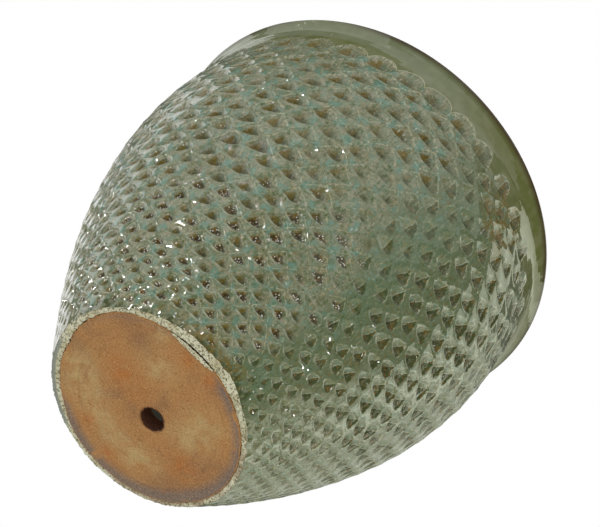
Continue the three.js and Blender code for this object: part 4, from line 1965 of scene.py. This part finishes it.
@dataclass(frozen=True)
class SoftLight:
    """A rectangular soft light that looks at the middle of the pot.

    Azimuth and elevation say where it stands, in degrees. Width and height are metres, and glow
    is how bright its face is, with 1 for white paper. Tint is its colour, and roll turns it about
    its own axis, in degrees.
    """

    name: str
    azimuth: float
    elevation: float
    width: float
    height: float
    glow: float
    work: Work
    tint: Colour = WHITE
    roll: float = 0.0
    distance: float = 2.0
    pot_middle: float = 0.14

    def build(self) -> bpy.types.Object:
        """Places the light.

        Returns:
            The light, which the camera doesn't see.
        """
        lamp = bpy.data.lights.new(self.name, "AREA")
        lamp.shape = "RECTANGLE"
        lamp.size, lamp.size_y = self.width, self.height
        lamp.energy = self.glow * math.pi * self.width * self.height
        lamp.color = self.tint
        turn, rise = math.radians(self.azimuth), math.radians(self.elevation)
        out = Vector((math.sin(turn) * math.cos(rise), -math.cos(turn) * math.cos(rise), math.sin(rise)))
        placed = bpy.data.objects.new(self.name, lamp)
        placed.location = Vector((0, 0, self.pot_middle)) + out * self.distance
        rolled = Quaternion((0, 0, 1), math.radians(self.roll))
        placed.rotation_euler = (out.to_track_quat("Z", "Y") @ rolled).to_euler()
        placed.visible_camera = False
        placed.visible_diffuse = self.work is not Work.SHINE
        placed.visible_glossy = self.work is not Work.FILL
        bpy.context.scene.collection.objects.link(placed)
        log.info("light %s", self.name)
        return placed


@dataclass(frozen=True)
class Studio:
    """A pale floor that is clear from beneath, soft lights all round, and the camera, which looks
    up at the foot as the photograph does."""

    focal_pixels: float = 1961.3
    frame_pixels: float = 600.0
    eye: Vector = Vector((0.0, -0.88899, -0.81421))
    right: Vector = Vector((0.68472, -0.54691, 0.48171))
    up: Vector = Vector((-0.72880, -0.51458, 0.45172))
    floor_radius: float = 1.5
    floor_rings: int = 4
    floor_columns: int = 96
    lights: tuple[SoftLight, ...] = (
        SoftLight("right_softbox", 89, 27, 0.82, 2.6, 1.55, Work.SHINE, WINDOW, 18),
        SoftLight("right_back_panel", 123, 19, 2.04, 2.15, 0.60, Work.SHINE, WINDOW),
        SoftLight("front_haze", -6, 32, 3.2, 2.2, 0.55, Work.SHINE),
        SoftLight("left_panel", -72, 12, 2.1, 1.5, 0.8, Work.SHINE),
        SoftLight("back_left_strip", -118, 20, 0.70, 1.7, 1.45, Work.SHINE),
        SoftLight("far_left_strip", -152, 16, 0.80, 1.6, 1.35, Work.SHINE),
        SoftLight("left_spark", -112, -12, 0.08, 0.09, 200.0, Work.SHINE),
        SoftLight("low_left_spark", -96, -24, 0.05, 0.05, 220.0, Work.SHINE),
        SoftLight("back_left_spark", -135, -4, 0.05, 0.06, 240.0, Work.SHINE),
        SoftLight("left_front_spark", -72, -12, 0.07, 0.07, 240.0, Work.SHINE),
        SoftLight("front_spark", -48, -10, 0.06, 0.06, 240.0, Work.SHINE),
        SoftLight("low_front_spark", -30, -22, 0.06, 0.06, 170.0, Work.SHINE),
        SoftLight("low_spark", 50, -16, 0.05, 0.05, 150.0, Work.SHINE),
        SoftLight("key", -50, 35, 1.4, 1.4, 1.2, Work.FILL),
        SoftLight("low_fill", 10, -70, 1.4, 1.4, 1.2, Work.FILL),
    )
    world_shine: float = 0.10
    world_fill: float = 0.84
    world_tint: Colour = (0.95, 0.97, 1.0)

    def build(self) -> None:
        """Builds the whole studio."""
        for light in self.lights:
            light.build()
        self.build_world()
        self.build_floor()
        self.build_camera()
        bpy.context.scene.view_settings.view_transform = "Standard"

    def build_world(self) -> None:
        """White where the camera sees past the pot, a dark room in the glaze, and an even glow on
        matt colour."""
        world = bpy.data.worlds.new("studio")
        world.use_nodes = True
        world.node_tree.nodes.clear()
        sheet = Sheet(world.node_tree)
        path = sheet.node("ShaderNodeLightPath").outputs
        shares = {"Factor": path["Is Glossy Ray"], "A": self.world_fill, "B": self.world_shine}
        strength = sheet.node("ShaderNodeMix", shares, data_type="FLOAT").outputs["Result"]
        seen = sheet.node("ShaderNodeBackground", {"Color": WHITE})
        glow = sheet.node("ShaderNodeBackground", {"Color": self.world_tint, "Strength": strength})
        both = sheet.join_shaders(path["Is Camera Ray"], glow.outputs[0], seen.outputs[0])
        sheet.node("ShaderNodeOutputWorld", {"Surface": both})
        bpy.context.scene.world = world

    def build_floor(self) -> None:
        """A round floor that fades into the white, and lets the camera look up through it."""
        rings = np.linspace(0, self.floor_radius, self.floor_rings + 1)[1:, None]
        points = ring_points(columns_round(self.floor_columns), rings, 0 * rings).reshape(-1, 3)
        index = np.arange(len(points)).reshape(self.floor_rings, self.floor_columns)
        right = np.roll(index, -1, 1)
        middle = np.full(self.floor_columns, len(points))
        fan = np.stack([middle, index[0], right[0]], 1)
        triangles = np.concatenate([triangles_of(index[1:], right[1:], right[:-1], index[:-1]), fan])
        floor = mesh_piece("floor", np.concatenate([points, np.zeros((1, 3))]), triangles)
        material, sheet, shader = new_material("pale_floor", Sheet)
        colour = sheet.mix(sheet.noise(0.6, 2), (0.80, 0.80, 0.79), (0.84, 0.84, 0.83))
        sheet.feed(shader, "Base Color", colour)
        sheet.feed(shader, "Roughness", 0.9)
        fade = sheet.slope(sheet.length(), 0.35, self.floor_radius * 0.95)
        below = sheet.node("ShaderNodeNewGeometry").outputs["Backfacing"]
        clear = sheet.node("ShaderNodeBsdfTransparent").outputs[0]
        both = sheet.join_shaders(sheet.sum(Sum.MOST, fade, below), shader.outputs[0], clear)
        sheet.feed(material.node_tree.nodes["Material Output"], "Surface", both)
        floor.data.materials.append(material)
        floor.visible_shadow = False
        floor.visible_glossy = False
        floor.visible_diffuse = False

    def build_camera(self) -> None:
        """Stands the camera where the photograph was taken from."""
        lens = bpy.data.cameras.new("camera")
        lens.lens = self.focal_pixels / self.frame_pixels * lens.sensor_width
        camera = bpy.data.objects.new("camera", lens)
        back = self.right.cross(self.up)
        turned = Matrix((self.right, self.up, back)).transposed()
        camera.matrix_world = Matrix.Translation(self.eye) @ turned.to_4x4()
        bpy.context.scene.collection.objects.link(camera)
        bpy.context.scene.camera = camera


def main() -> None:
    """Builds the pot and the studio in order."""
    logging.basicConfig(level=logging.INFO, format="%(name)s: %(message)s")
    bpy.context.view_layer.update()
    form = PotForm()
    specks = speckle_group()
    glaze = CarvedGlaze(specks).make()
    dried = DriedGlaze(specks).make()
    CarvedWall(Relief(form)).build(glaze)
    RimCollar(form).build(glaze)
    InsideGlaze(form).build(LiningGlaze(specks).make())
    ClayFoot(form).build(BareClay(specks).make())
    FootCrust(form).build(dried)
    CrustFlake(form).build(dried)
    Studio().build()


if __name__ == "__main__":
    main()
